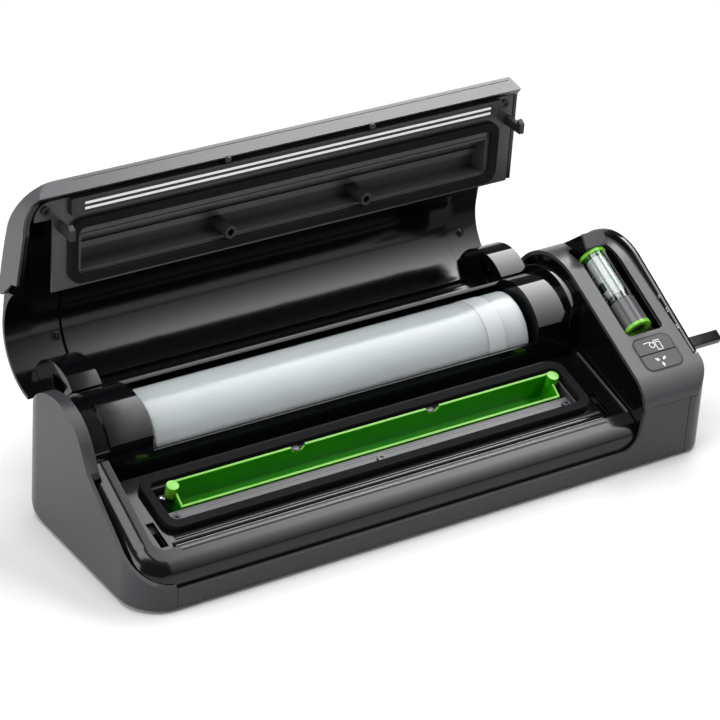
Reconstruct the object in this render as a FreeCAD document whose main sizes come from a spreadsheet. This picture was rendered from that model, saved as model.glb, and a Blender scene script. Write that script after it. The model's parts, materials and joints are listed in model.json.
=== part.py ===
import FreeCAD, Part
import math
import os
import re

import Sketcher
from FreeCAD import Placement, Rotation, Vector

# Vacuum sealer with a hinged lid, a bag roll bay and a docked hand nozzle.
# Lengths in mm, angles in degrees. While a piece is drawn, x runs from the left end
# face, y from the front skirt to the rear and z up from the lower edge of the skirt.
# Lid pieces are drawn closed and turned open about the hinge line.

sizes = {
    # whole object
    "foot_height": 3, "wall": 2.5, "seam": 0.3, "heel_round": 34, "frame_y": 95.73,
    # gray covers
    "skirt_top": 12.5, "plan_corner": 25, "right_corner": 15, "cover_band": 8.4,
    "shoulder_y": 4, "shoulder_z": 17.5, "ridge_y": 66, "ridge_z": 64, "notch_y": 75,
    "heel_drop": 50, "heel_in": 10, "skirt_left": 26, "cheek_top": 40.5,
    # sloped deck
    "deck_y": 14, "deck_z": 30.2, "deck_slope": 16, "rim_slope": 27.6, "nose_round": 13,
    "deck_left": 3, "recess_depth": 3, "recess_left": 20.5, "recess_end": 4.4,
    "recess_front": 16.5, "recess_back": 76.6, "recess_round": 8,
    # latch slots in the deck
    "slot_left": 29.5, "slot_end": 12.6, "slot_wide": 5, "slot_front": 7.6, "slot_long": 20,
    # gaskets, tub, tray and seal pad, measured along the deck from its front edge
    "ring_left": 36, "ring_end": 19.4, "ring_front": 15.4, "ring_back": 59.6, "ring_wide": 6,
    "ring_round": 9, "ring_stand": 1.5, "ring_gap": 0.4, "upper_ring": 3,
    "tub_wall": 1.6, "tub_ledge": 6, "tub_deep": 20, "tub_step": 33.3,
    "tray_left": 56, "tray_end": 33, "tray_wall": 1.4, "tray_front_top": 5, "tray_back_top": 1,
    "lug_radius": 4, "lug_rise": 1.2, "lug_long": 9, "lug_out": 0.6, "notch_round": 5.2,
    "post_share": 0.322, "post_row": 46.7, "post_radius": 4.4, "post_tip": 2.3,
    "pad_left": 35, "pad_end": 19, "pad_row": 5.6, "pad_wide": 4.6, "pad_high": 2.2,
    # bag roll and its bay
    "roll_y": 106, "roll_z": 57, "roll_radius": 25.6, "roll_left": 56.6, "roll_length": 280,
    "core_radius": 14, "core_wall": 1.6, "band_thick": 0.3, "band_from_end": 18, "band_wide": 13,
    "bay_left": 52, "bay_end": 33, "bay_fit": 0.5, "bay_wall": 2.2, "rail_top": 60.5,
    "lip_run": 17.5, "lip_fit": 0.5, "bay_back_top": 72,
    "cheek_fit": 1, "step_deep": 1.5, "cheek_front": 77, "cheek_left": 22, "cheek_end": 8,
    "cheek_floor": 24, "cheek_run": 28, "bulk_run": 29,
    # rear panel and hinge
    "rear_run": 47, "rear_top": 57, "rear_deck_run": 29.2, "rear_deck_z": 65, "spine_radius": 9.4,
    "hinge_in": 5.8, "hinge_z": 62.3, "lid_open": 106, "pin_radius": 4, "pin_fit": 0.05,
    "ear_radius": 8.6, "ear_thick": 4, "ear_foot": 30, "hub_radius": 9, "arm_radius": 30,
    "arm_left": 22.8, "arm_end": 29.1, "arm_wide": 21, "arm_from": 128, "arm_to": 240,
    "hole_inner": 13, "hole_outer": 22, "hole_from": 184, "hole_to": 230, "arm_gap": 0.8,
    # lid
    "liner_fit": 0.6, "liner_thick": 1.4, "liner_gap": 4, "shell_radius": 38, "shell_wall": 2.5,
    "lid_left": 4.8, "lid_end": 5.5, "dome_left": 9, "dome_end": 22, "lid_gap": 0.8,
    "lid_front_y": 2.3, "lid_front_z": 43, "lid_edge_y": 8.6, "lid_edge_z": 30.1,
    "lid_crown": 380, "crown_angle": 111.4, "band_wall": 1.8, "lid_corner": 26,
    "panel_left": 25, "panel_end": 8.4, "panel_front": -0.5, "panel_back": 62.6,
    "panel_thick": 2, "gusset_left": 12.5, "gusset_back": 12, "gusset_round": 11,
    "gusset_screw": 7, "trough_front": 26.4, "trough_back": 53.2, "trough_deep": 15,
    "trough_wall": 1.5, "bar_row": 33, "bar_radius": 5, "ledge_row": 40, "ledge_high": 4,
    "carrier_wide": 12, "carrier_high": 3.6, "strip_wide": 1.8, "strip_thick": 0.25,
    "strip_pitch": 3.6, "strip_left": 45, "strip_end": 29,
    "hook_thick": 3.6, "hook_stem": 14, "hook_wide": 6, "hook_reach": 12.6, "hook_barb": 3.4,
    "barb_high": 3.6,
    # latch plate and lever
    "plate_drop": 6.2, "plate_thick": 2, "plate_front": 4.4, "plate_back": 21.4, "plate_wing": 29.5,
    "plate_left": 23, "plate_end": 5.4, "plate_travel": 3.4,
    "lever_y": 51.5, "lever_z": 19.4, "lever_arm": 44, "lever_angle": 117, "lever_swing": 56,
    "lever_half": 3.2, "lever_broad": 8, "lever_plate": 2.4, "lever_grip": 33.8, "lever_in": 6.8,
    "lever_round": 1.6, "shaft_radius": 4, "lever_slot": 0.5, "boss_radius": 8,
    # control tower
    "tower_gap": 37.4, "tower_wide": 54, "tower_run": 2, "tower_z": 60, "tower_radius": 45,
    "tower_slope": 27, "tower_nose": 25, "tower_foot": 48, "rim_rise": 4, "rim_strip": 4,
    "rim_front": -29,
    "corner_end": 18, "dock_round": 4, "dock_in": 11.5, "dock_wide": 30, "dock_front": -5.5,
    "dock_back": 72, "dock_deep": 11.2,
    "field_in": 11, "field_wide": 29.5, "field_front": -34.8, "field_back": -9.5,
    "key_gap": 0.35, "key_split": 0.6, "key_stand": 0.5, "key_deep": 4.2, "key_travel": 1.2,
    "key_round": 5, "board_drop": 6.2, "board_thick": 1.6,
    # hand nozzle in the dock
    "nozzle_in": 23, "nozzle_radius": 9.6, "nozzle_sink": 1.2, "nozzle_front": -2, "ring_long": 2.6,
    "body_long": 19.6, "clear_wall": 1.2, "clear_long": 37.6, "straw_radius": 2.2, "tail_half": 8,
    "tail_long": 17, "tail_high": 14, "tail_cap": 2.2,
    # works inside
    "pump_in": 25, "pump_run": 4, "pump_z": 22, "motor_radius": 14, "motor_long": 34,
    "pump_wide": 32, "pump_long": 16, "pump_high": 30,
    "power_x": 70, "power_y": 70, "power_long": 90, "power_wide": 44,
    "block_long": 34, "block_wide": 28, "block_high": 14,
    # feet, screws and cord gland
    "foot_radius": 8, "foot_bevel": 0.8, "foot_inset": 26, "foot_back": 9, "screw_in": 60,
    "screw_head": 3, "screw_high": 1.2, "screw_socket": 1.4,
    "gland_radius": 6, "gland_bore": 3.2, "gland_long": 7, "gland_in": 24, "gland_z": 41,
}

# Places that follow from the sizes: the roll sets the length, the roll axis sets the depth.
follows = {
    "roll_right": "roll_left + roll_length", "tower_left": "roll_right + tower_gap",
    "base_length": "tower_left + tower_wide", "skirt_right": "base_length - right_corner - wall",
    "deck_right": "tower_left - 2*seam", "recess_right": "tower_left - recess_end",
    "slot_right": "tower_left - slot_end", "ring_right": "tower_left - ring_end",
    "tray_right": "tower_left - tray_end", "pad_right": "tower_left - pad_end",
    "post_one": "tray_left + (tray_right - tray_left)*post_share",
    "post_two": "tray_right - (tray_right - tray_left)*post_share",
    "bay_right": "tower_left - bay_end", "cheek_right": "tower_left - cheek_end",
    "arm_right": "tower_left - arm_end", "lid_right": "tower_left - lid_end",
    "dome_right": "tower_left - cheek_end", "panel_right": "tower_left - panel_end",
    "strip_right": "tower_left - strip_end", "plate_right": "tower_left - plate_end",
    "dock_left": "tower_left + dock_in", "dock_right": "dock_left + dock_wide",
    "field_left": "tower_left + field_in", "field_right": "field_left + field_wide",
    "nozzle_x": "tower_left + nozzle_in", "pump_x": "tower_left + pump_in",
    "gland_x": "tower_left + gland_in", "lever_left": "base_length - lever_in",
    "lever_tip": "lever_left + lever_grip", "frame_x": "lever_tip/2",
    "base_depth": "roll_y + rear_run", "hinge_y": "base_depth - hinge_in", "heel_y": "base_depth - heel_in",
    "rear_deck_front": "roll_y + rear_deck_run", "cheek_back": "roll_y + cheek_run",
    "bulk_back": "roll_y + bulk_run", "tower_y": "roll_y + tower_run", "pump_y": "roll_y - pump_run",
    "end_dome": "shell_radius", "bulk_radius": "shell_radius - lid_gap",
    "liner_radius": "shell_radius - shell_wall - liner_fit - liner_thick",
    "cheek_radius": "liner_radius - cheek_fit", "cheek_step": "cheek_radius - step_deep",
    "lip_y": "roll_y + lip_run", "lip_z": "roll_z + sqrt((cheek_radius - lip_fit)^2 - lip_run^2)",
}

doc = FreeCAD.newDocument("VacuumSealer")
sheet = doc.addObject("Spreadsheet::Sheet", "dims")
cells = {alias: str(number) for alias, number in sizes.items()}
cells.update({alias: f"={formula}" for alias, formula in follows.items()})
for row, alias in enumerate(cells, start=1):
    sheet.set(f"A{row}", alias)
    sheet.setAlias(f"B{row}", alias)
for row, content in enumerate(cells.values(), start=1):
    sheet.set(f"B{row}", content)
doc.recompute()

nodes = []
touching = 0.01


def bound(text):
    return re.sub(r"[a-z_]{3,}", lambda word: f"dims.{word[0]}" if word[0] in cells else word[0], str(text))


def value(text):
    return float(sheet.evalExpression(bound(text)))


def bind(thing, **formulas):
    for name, text in formulas.items():
        thing.setExpression(name, bound(text))


def bind_base(thing, x, y, z):
    for axis, text in zip("xyz", (x, y, z)):
        thing.setExpression(f"Placement.Base.{axis}", bound(text))


def deck_at(along, over):
    y = f"(deck_y + ({along})*cos(deck_slope) - ({over})*sin(deck_slope))"
    z = f"(deck_z + ({along})*sin(deck_slope) + ({over})*cos(deck_slope))"
    return y, z


def tower_line(along, over):
    foot_y = "(tower_y - tower_radius*sin(tower_slope))"
    foot_z = "(tower_z - rim_rise + tower_radius*cos(tower_slope))"
    y = f"({foot_y} + ({along} - tower_foot)*cos(tower_slope) - ({over})*sin(tower_slope))"
    z = f"({foot_z} + ({along} - tower_foot)*sin(tower_slope) + ({over})*cos(tower_slope))"
    return y, z


def polar(center_y, center_z, radius, angle):
    return f"({center_y} + ({radius})*cos({angle}))", f"({center_z} + ({radius})*sin({angle}))"


def bay_polar(radius, angle):
    return polar("roll_y", "roll_z", radius, angle)


def hinge_polar(radius, angle):
    return polar("hinge_y", "hinge_z", radius, angle)


def lever_polar(radius, angle):
    return polar("lever_y", "lever_z", radius, angle)


def body(label):
    piece = doc.addObject("PartDesign::Body", label)
    piece.Label = label
    return piece


def sketch(piece, role, start):
    drawing = piece.newObject("Sketcher::SketchObject", f"{piece.Name}_sketch")
    plane = next(item for item in piece.Origin.OriginFeatures if item.Role == f"{role}_Plane")
    drawing.AttachmentSupport = [(plane, "")]
    drawing.MapMode = "FlatFace"
    drawing.setExpression("AttachmentOffset.Base.z", bound(start))
    return drawing


def arc_between(first, last, radius, turn):
    chord = last - first
    half = chord.Length / 2
    rise = math.sqrt(max(radius * radius - half * half, 0.0))
    side = Vector(-chord.y, chord.x, 0).normalize() * (1 if turn == "left" else -1)
    center = first + chord * 0.5 + side * rise
    ends = (first, last) if turn == "left" else (last, first)
    angles = [math.atan2(point.y - center.y, point.x - center.x) for point in ends]
    return Part.ArcOfCircle(Part.Circle(center, Vector(0, 0, 1), radius), angles[0], angles[1])


def pin_value(drawing, kind, *place, text):
    index = drawing.addConstraint(Sketcher.Constraint(kind, *place, value(text)))
    drawing.setExpression(f"Constraints[{index}]", bound(text))


def draw_loop(drawing, corners):
    points = [Vector(value(corner[0]), value(corner[1]), 0) for corner in corners]
    starts, stops = [], []
    for number, corner in enumerate(corners):
        first = points[number]
        last = points[(number + 1) % len(points)]
        if len(corner) == 2:
            edge = drawing.addGeometry(Part.LineSegment(first, last), False)
            starts.append((edge, 1))
            stops.append((edge, 2))
        else:
            edge = drawing.addGeometry(arc_between(first, last, value(corner[2]), corner[3]), False)
            starts.append((edge, 1 if corner[3] == "left" else 2))
            stops.append((edge, 2 if corner[3] == "left" else 1))
    for number, stop in enumerate(stops):
        drawing.addConstraint(Sketcher.Constraint("Coincident", *stop, *starts[(number + 1) % len(starts)]))
    for number, corner in enumerate(corners):
        pin_value(drawing, "DistanceX", -1, 1, *starts[number], text=corner[0])
        pin_value(drawing, "DistanceY", -1, 1, *starts[number], text=corner[1])
        if len(corner) == 4:
            pin_value(drawing, "Radius", starts[number][0], text=corner[2])


def draw_circle(drawing, across, up, radius):
    center = Vector(value(across), value(up), 0)
    edge = drawing.addGeometry(Part.Circle(center, Vector(0, 0, 1), value(radius)), False)
    pin_value(drawing, "DistanceX", -1, 1, edge, 3, text=across)
    pin_value(drawing, "DistanceY", -1, 1, edge, 3, text=up)
    pin_value(drawing, "Radius", edge, text=radius)


def pad(piece, drawing, length):
    feature = piece.newObject("PartDesign::Pad", f"{piece.Name}_pad")
    feature.Profile = drawing
    bind(feature, Length=length)
    doc.recompute()
    return feature


def pocket(piece, drawing, length):
    feature = piece.newObject("PartDesign::Pocket", f"{piece.Name}_pocket")
    feature.Profile = drawing
    feature.Reversed = True
    bind(feature, Length=length)
    doc.recompute()
    return feature


def add_slab(piece, role, start, length, corners):
    drawing = sketch(piece, role, start)
    draw_loop(drawing, corners)
    return pad(piece, drawing, length)


def cut_slab(piece, role, start, length, corners):
    drawing = sketch(piece, role, start)
    draw_loop(drawing, corners)
    return pocket(piece, drawing, length)


def add_disc(piece, role, start, length, across, up, radius):
    drawing = sketch(piece, role, start)
    draw_circle(drawing, across, up, radius)
    return pad(piece, drawing, length)


def cut_disc(piece, role, start, length, across, up, radius):
    drawing = sketch(piece, role, start)
    draw_circle(drawing, across, up, radius)
    return pocket(piece, drawing, length)


def rectangle(left, low, right, high):
    return [(left, low), (right, low), (right, high), (left, high)]


def ease_edges(piece, kind, wanted, **amount):
    names = [f"Edge{number}" for number, edge in enumerate(piece.Tip.Shape.Edges, start=1) if wanted(edge)]
    last = piece.Tip
    feature = piece.newObject(f"PartDesign::{kind}", f"{piece.Name}_{kind.lower()}")
    feature.Base = (last, names)
    bind(feature, **amount)
    doc.recompute()
    return feature


def round_edges(piece, radius, wanted):
    return ease_edges(piece, "Fillet", wanted, Radius=radius)


def bevel_edges(piece, size, wanted):
    return ease_edges(piece, "Chamfer", wanted, Size=size)


def runs_along(edge, axis):
    if len(edge.Vertexes) != 2 or edge.Curve.TypeId != "Part::GeomLine":
        return False
    step = edge.Vertexes[1].Point - edge.Vertexes[0].Point
    return abs(getattr(step.normalize(), axis)) > 0.999


def near(edge, **targets):
    center = edge.BoundBox.Center
    return all(abs(getattr(center, axis) - value(text)) < value("wall/4") for axis, text in targets.items())


def cut_part(label, base, tool):
    result = doc.addObject("Part::Cut", label)
    result.Label = label
    result.Base = base
    result.Tool = tool
    doc.recompute()
    return result


def common_part(label, base, tool):
    result = doc.addObject("Part::Common", label)
    result.Label = label
    result.Base = base
    result.Tool = tool
    doc.recompute()
    return result


def group(label, pieces):
    result = doc.addObject("Part::Compound", label)
    result.Label = label
    result.Links = pieces
    doc.recompute()
    return result


def tilt(piece, angle):
    piece.Placement = Placement(Vector(), Rotation(Vector(1, 0, 0), value(angle)))
    bind_angle = bound(angle)
    piece.setExpression("Placement.Rotation.Angle", bind_angle)


def set_on_base(piece):
    bind_base(piece, "-frame_x", "-frame_y", "foot_height")
    nodes.append(piece)


def set_on_deck(piece):
    tilt(piece, "deck_slope")
    bind_base(piece, "-frame_x", "deck_y - frame_y", "deck_z + foot_height")
    nodes.append(piece)


def set_on_tower(piece):
    y, z = tower_line("0", "0")
    tilt(piece, "tower_slope")
    bind_base(piece, "-frame_x", f"{y} - frame_y", f"{z} + foot_height")
    nodes.append(piece)


def set_on_lid(piece):
    tilt(piece, "-lid_open")
    y = "hinge_y - hinge_y*cos(lid_open) - hinge_z*sin(lid_open) - frame_y"
    z = "hinge_z + hinge_y*sin(lid_open) - hinge_z*cos(lid_open) + foot_height"
    bind_base(piece, "-frame_x", y, z)
    nodes.append(piece)


def set_on_lid_deck(piece):
    tilt(piece, "deck_slope - lid_open")
    y = "hinge_y + (deck_y - hinge_y)*cos(lid_open) + (deck_z - hinge_z)*sin(lid_open) - frame_y"
    z = "hinge_z - (deck_y - hinge_y)*sin(lid_open) + (deck_z - hinge_z)*cos(lid_open) + foot_height"
    bind_base(piece, "-frame_x", y, z)
    nodes.append(piece)


panel_low = "(ring_stand + ring_gap + upper_ring)"
touch = "0.01"


def plan_outline(left, front, right, back, front_left, back_left, front_right):
    return [
        (f"{left} + {front_left}", front),
        (f"{right} - {front_right}", front, front_right, "left"),
        (right, f"{front} + {front_right}"),
        (right, back),
        (f"{left} + {back_left}", back, back_left, "left"),
        (left, f"{back} - {back_left}"),
        (left, f"{front} + {front_left}", front_left, "left"),
    ]


def rounded(left, low, right, high, radius):
    return [
        (f"{left} + {radius}", low),
        (f"{right} - {radius}", low, radius, "left"),
        (right, f"{low} + {radius}"),
        (right, f"{high} - {radius}", radius, "left"),
        (f"{right} - {radius}", high),
        (f"{left} + {radius}", high, radius, "left"),
        (left, f"{high} - {radius}"),
        (left, f"{low} + {radius}", radius, "left"),
    ]


def dome_z(radius, y):
    return f"(roll_z + sqrt(({radius})^2 - (({y}) - roll_y)^2))"


def floor_z(y, drop):
    return f"(deck_z + (({y}) - deck_y)*tan(deck_slope) - ({drop})/cos(deck_slope))"


def rim_z(y):
    return f"(deck_z + (({y}) - deck_y)*tan(rim_slope))"


def make_base_plate():
    piece = body("base_plate")
    inset = "(wall + seam)"
    add_slab(piece, "XY", "seam", "wall", plan_outline(
        inset, inset, f"base_length - {inset}", "base_depth - heel_round - seam",
        f"(plan_corner - {inset})", "seam", f"(right_corner - {inset})"))
    set_on_base(piece)


def cut_heel(piece, start, length, inset):
    radius = f"(heel_round - {inset})"
    cut_slab(piece, "YZ", start, length, [
        ("base_depth - heel_round", inset, radius, "left"), (f"base_depth - {inset}", "heel_round"),
        ("base_depth + wall", "heel_round"), ("base_depth + wall", "-wall"),
        ("base_depth - heel_round", "-wall")])


def make_left_end_cover():
    piece = body("left_end_blank")
    add_slab(piece, "XY", "0", "120", plan_outline(
        "0", "0", "skirt_left", "base_depth", "plan_corner", "plan_corner", "0.01"))
    cut_slab(piece, "YZ", "-9", "60", [
        ("-9", "skirt_top"), ("0", "skirt_top"), ("shoulder_y", "shoulder_z"), ("ridge_y", "ridge_z"),
        ("notch_y", dome_z("end_dome", "notch_y"), "end_dome", "right"),
        ("heel_y", dome_z("end_dome", "heel_y")), ("base_depth", "heel_drop"),
        ("base_depth + 9", "heel_drop"), ("base_depth + 9", "150"), ("-9", "150")])
    cut_heel(piece, "-9", "60", "0")
    hollow = body("left_end_hollow")
    add_slab(hollow, "XY", "-1", "130", plan_outline(
        "wall", "wall", "skirt_left + 9", "base_depth - wall",
        "(plan_corner - wall)", "(plan_corner - wall)", "0.01"))
    under = "(end_dome - wall)"
    cut_slab(hollow, "YZ", "-9", "80", [
        ("ridge_y", "170"), ("ridge_y", "ridge_z - 2*wall"),
        ("notch_y", dome_z(under, "notch_y"), under, "right"),
        ("heel_y - wall", dome_z(under, "heel_y - wall")), ("base_depth - wall", "heel_drop - wall"),
        ("base_depth + 9", "heel_drop - wall"), ("base_depth + 9", "170")])
    cut_heel(hollow, "-9", "80", "wall")
    shell = cut_part("left_end_shell", piece, hollow)
    rest = doc.addObject("Part::Box", "left_end_trim")
    bind(rest, Length="skirt_left", Width="base_depth", Height="200")
    bind_base(rest, "cover_band", "ridge_y - wall", "heel_drop - 2*wall")
    set_on_base(cut_part("left_end_cover", shell, rest))


def make_front_skirt():
    piece = body("front_skirt")
    add_slab(piece, "XZ", "-wall", "wall", [
        ("skirt_left + seam", "0"), ("skirt_right", "0"), ("skirt_right", "cheek_top"),
        ("tower_left", "cheek_top"), ("tower_left - 2.6", "skirt_top + 12", "12", "right"),
        ("tower_left - 14", "skirt_top"), ("skirt_left + seam", "skirt_top")])
    set_on_base(piece)


def make_deck_moulding():
    piece = body("deck_moulding")
    add_slab(piece, "YZ", "deck_left", "deck_right - deck_left", [
        ("deck_left", "skirt_top + seam"), ("recess_back", "skirt_top + seam"),
        ("recess_back", rim_z("recess_back")), ("deck_left", rim_z("deck_left"))])
    round_edges(piece, "plan_corner - deck_left", lambda edge: runs_along(edge, "z")
                and near(edge, x="deck_left", y="deck_left"))
    top = value(rim_z("deck_left"))
    slope = value("tan(rim_slope)")
    round_edges(piece, "nose_round", lambda edge: on_rim(edge, top, slope))
    cut_slab(piece, "YZ", "recess_left", "recess_right - recess_left", [
        ("recess_front", floor_z("recess_front", "recess_depth")),
        ("recess_back + 9", floor_z("recess_back + 9", "recess_depth")),
        ("recess_back + 9", "120"), ("recess_front", "120")])
    cut_slab(piece, "YZ", "recess_right", "9", [
        ("deck_y", "deck_z"), ("recess_back + 9", floor_z("recess_back + 9", "0")),
        ("recess_back + 9", "120"), ("deck_y", "120")])
    round_edges(piece, "recess_round", lambda edge: runs_along(edge, "z")
                and near(edge, x="recess_left", y="recess_front"))
    under = "(recess_depth + wall)"
    cut_slab(piece, "YZ", "recess_left + wall", "deck_right - recess_left - 2*wall", [
        ("recess_front + 2", floor_z("recess_front + 2", under)),
        ("recess_back + 9", floor_z("recess_back + 9", under)),
        ("recess_back + 9", "0"), ("recess_front + 2", "0")])
    for slot in ("slot_left", "slot_right"):
        cut_slab(piece, "YZ", f"{slot} - slot_wide/2", "slot_wide", [
            deck_at("slot_front", "3"), deck_at("slot_front + slot_long", "3"),
            deck_at("slot_front + slot_long", "-9"), deck_at("slot_front", "-9")])
    cut_slab(piece, "YZ", "ring_left + ring_wide + 1 - seam",
             "ring_right - ring_left - 2*ring_wide - 2 + 2*seam", [
                 deck_at("ring_front + ring_wide + 0.5 - seam", "3"),
                 deck_at("ring_back - ring_wide - 0.5 + seam", "3"),
                 deck_at("ring_back - ring_wide - 0.5 + seam", "-9"),
                 deck_at("ring_front + ring_wide + 0.5 - seam", "-9")])
    set_on_base(piece)


def on_rim(edge, top, slope):
    front = value("deck_left")
    points = [vertex.Point for vertex in edge.Vertexes]
    raised = all(abs(point.z - top - (point.y - front) * slope) < touching for point in points)
    middle = edge.valueAt((edge.FirstParameter + edge.LastParameter) / 2)
    inner_side = middle.y > value("recess_back - seam") or middle.x > value("deck_right - seam")
    return raised and not inner_side


def make_vacuum_channel():
    piece = body("vacuum_channel")
    left, right = "(ring_left + ring_wide + 1)", "(ring_right - ring_wide - 1)"
    front, back = "(ring_front + ring_wide + 0.5)", "(ring_back - ring_wide - 0.5)"
    top, low = "(-recess_depth)", "(-tub_deep - tub_wall)"
    add_slab(piece, "YZ", left, f"{right} - {left}", [
        (front, top), (back, top), (back, low), ("tub_step - tub_wall", low),
        ("tub_step - tub_wall", "-tub_ledge - tub_wall"), (front, "-tub_ledge - tub_wall")])
    inner = f"{right} - {left} - 2*tub_wall"
    cut_slab(piece, "YZ", f"{left} + tub_wall", inner, rectangle(
        f"{front} + tub_wall", "-tub_ledge", f"{back} - tub_wall", "9"))
    cut_slab(piece, "YZ", f"{left} + tub_wall", inner, rectangle(
        "tub_step", "-tub_deep", f"{back} - tub_wall", "9"))
    set_on_deck(piece)


def make_lower_gasket():
    piece = body("lower_gasket")
    ring_loop(piece, "-recess_depth", "recess_depth + ring_stand")
    set_on_deck(piece)


def make_upper_gasket():
    piece = body("upper_gasket")
    ring_loop(piece, "ring_stand + ring_gap", "upper_ring")
    set_on_lid_deck(piece)


def ring_loop(piece, start, length):
    drawing = sketch(piece, "XY", start)
    draw_loop(drawing, rounded("ring_left", "ring_front", "ring_right", "ring_back", "ring_round"))
    pad(piece, drawing, length)
    cut_slab(piece, "XY", f"{start} - 1", f"{length} + 2", rounded(
        "(ring_left + ring_wide)", "(ring_front + ring_wide)", "(ring_right - ring_wide)",
        "(ring_back - ring_wide)", "(ring_round/2)"))


def make_drip_tray():
    piece = body("drip_tray")
    front, back = "(tub_step + 0.5)", "(ring_back - ring_wide - 0.5 - tub_wall - 0.5)"
    low = "(-tub_deep + seam)"
    add_slab(piece, "YZ", "tray_left", "tray_right - tray_left", [
        (front, "-tray_front_top"), (front, low), (back, low), (back, "tray_back_top")])
    cut_slab(piece, "YZ", "tray_left + tray_wall", "tray_right - tray_left - 2*tray_wall", rectangle(
        f"{front} + tray_wall", f"{low} + tray_wall", f"{back} - tray_wall", "9"))
    for post in ("post_one", "post_two"):
        cut_disc(piece, "XZ", f"-{back} - 1", "tray_wall + 3", post, "tray_back_top", "notch_round")
    for x in ("tray_left - lug_out", "tray_right + lug_out"):
        add_disc(piece, "XY", "tray_back_top + lug_rise - lug_long", "lug_long",
                 x, f"{back} - lug_radius - seam", "lug_radius")
    set_on_deck(piece)


def make_seal_pad():
    piece = body("seal_pad")
    front, low, ridge = "(pad_row - pad_wide/2)", "(-recess_depth)", "(pad_wide/5)"
    top = f"({low} + pad_high)"
    valley = f"({low} + pad_high*0.6)"
    add_slab(piece, "YZ", "pad_left", "pad_right - pad_left", [
        (front, low), (f"{front} + 5*{ridge}", low), (f"{front} + 5*{ridge}", valley),
        (f"{front} + 4*{ridge}", valley), (f"{front} + 4*{ridge}", top), (f"{front} + 3*{ridge}", top),
        (f"{front} + 3*{ridge}", valley), (f"{front} + 2*{ridge}", valley), (f"{front} + 2*{ridge}", top),
        (f"{front} + {ridge}", top), (f"{front} + {ridge}", valley), (front, valley)])
    set_on_deck(piece)


def hexagon(x, y, radius):
    return [polar(x, y, radius, str(angle)) for angle in range(0, 360, 60)]


def screw(name, x, y, z):
    piece = body(name)
    add_disc(piece, "XY", z, "screw_high", x, y, "screw_head")
    cut_slab(piece, "XY", f"{z} + screw_high*0.4", "screw_high", hexagon(x, y, "screw_socket"))
    return piece


def make_channel_screws():
    row = "(ring_front + ring_wide + 6)"
    places = ("ring_left + ring_wide + 7", "post_one + 50", "ring_right - ring_wide - 7")
    screws = [screw(f"channel_screw_{number}", x, row, "-tub_ledge")
              for number, x in enumerate(places, start=1)]
    set_on_deck(group("channel_screws", screws))


def make_roll_bay():
    piece = body("roll_bay")
    inner, outer = "(roll_radius + band_thick + bay_fit)", "(roll_radius + band_thick + bay_fit + bay_wall)"
    knee_y, knee_z = bay_polar(outer, "220")
    lip = "(bay_wall*0.7)"
    add_slab(piece, "YZ", "bay_left + seam", "bay_right - bay_left - 2*seam", [
        ("cheek_front", "cheek_floor"), ("cheek_front", "rail_top"), (f"roll_y - {inner}", "rail_top"),
        (f"roll_y - {inner}", "roll_z", inner, "left"), ("roll_y", f"roll_z - {inner}", inner, "left"),
        (f"roll_y + {inner}", "roll_z"),
        (f"roll_y + {inner}", "bay_back_top"), (f"lip_y - {lip}", f"lip_z - {lip}"), ("lip_y", "lip_z"),
        (f"roll_y + {outer}", "bay_back_top + bay_wall*0.4"),
        (f"roll_y + {outer}", "roll_z", outer, "right"), (knee_y, knee_z),
        ("cheek_front + bay_wall", f"{knee_z} - 3"), ("cheek_front + bay_wall", "cheek_floor")])
    set_on_base(piece)


def cheek_slab(piece, start, length, radius, back):
    add_slab(piece, "YZ", start, length, [
        ("cheek_front", "cheek_floor"), ("cheek_front", dome_z(radius, "cheek_front"), radius, "right"),
        (back, dome_z(radius, back)), (back, "cheek_floor")])


def make_cheeks():
    left = body("left_cheek")
    cheek_slab(left, "cheek_left", "bay_left - cheek_left", "cheek_radius", "cheek_back")
    cheek_slab(left, "cover_band + seam", "cheek_left - cover_band - seam", "cheek_step", "cheek_back")
    cut_disc(left, "YZ", "arm_left - 0.4", "arm_wide + 0.8", "hinge_y", "hinge_z", "arm_radius + arm_gap")
    set_on_base(left)
    right = body("right_cheek")
    cheek_slab(right, "bay_right", "cheek_right - bay_right", "cheek_radius", "cheek_back")
    cut_disc(right, "YZ", "arm_right - 0.4", "arm_wide + 9", "hinge_y", "hinge_z", "arm_radius + arm_gap")
    set_on_base(right)
    bulkhead = body("right_bulkhead")
    cheek_slab(bulkhead, "cheek_right + seam", "tower_left - cheek_right - 2*seam",
               "bulk_radius", "bulk_back")
    set_on_base(bulkhead)


def make_rear_panel():
    piece = body("rear_panel")
    face = "(base_depth - wall)"
    add_slab(piece, "YZ", "skirt_left + seam", "skirt_right - skirt_left - seam", [
        ("base_depth - heel_round", "0", "heel_round", "left"), ("base_depth", "heel_round"),
        ("base_depth", "rear_top"), (face, "rear_top"),
        (face, "heel_round", "(heel_round - wall)", "right"), ("base_depth - heel_round", "wall")])
    first = "(arm_left + arm_wide + ear_thick + 1)"
    last = "(arm_right - ear_thick - 1)"
    add_slab(piece, "YZ", first, f"{last} - {first}", [
        (f"{face} + 0.5", "rear_top"), ("rear_deck_front", "rear_deck_z"),
        ("rear_deck_front", "rear_deck_z - wall"), (f"{face} + 0.5", "rear_top - wall - 1")])
    add_disc(piece, "YZ", first, f"{last} - {first}", "hinge_y", "hinge_z", "spine_radius")
    for arm in ("arm_left", "arm_right"):
        cut_disc(piece, "YZ", f"{arm} - ear_thick - 0.4 - seam", "arm_wide + 2*ear_thick + 0.8 + 2*seam",
                 "hinge_y", "hinge_z", "hub_radius + arm_gap")
    set_on_base(piece)


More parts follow.
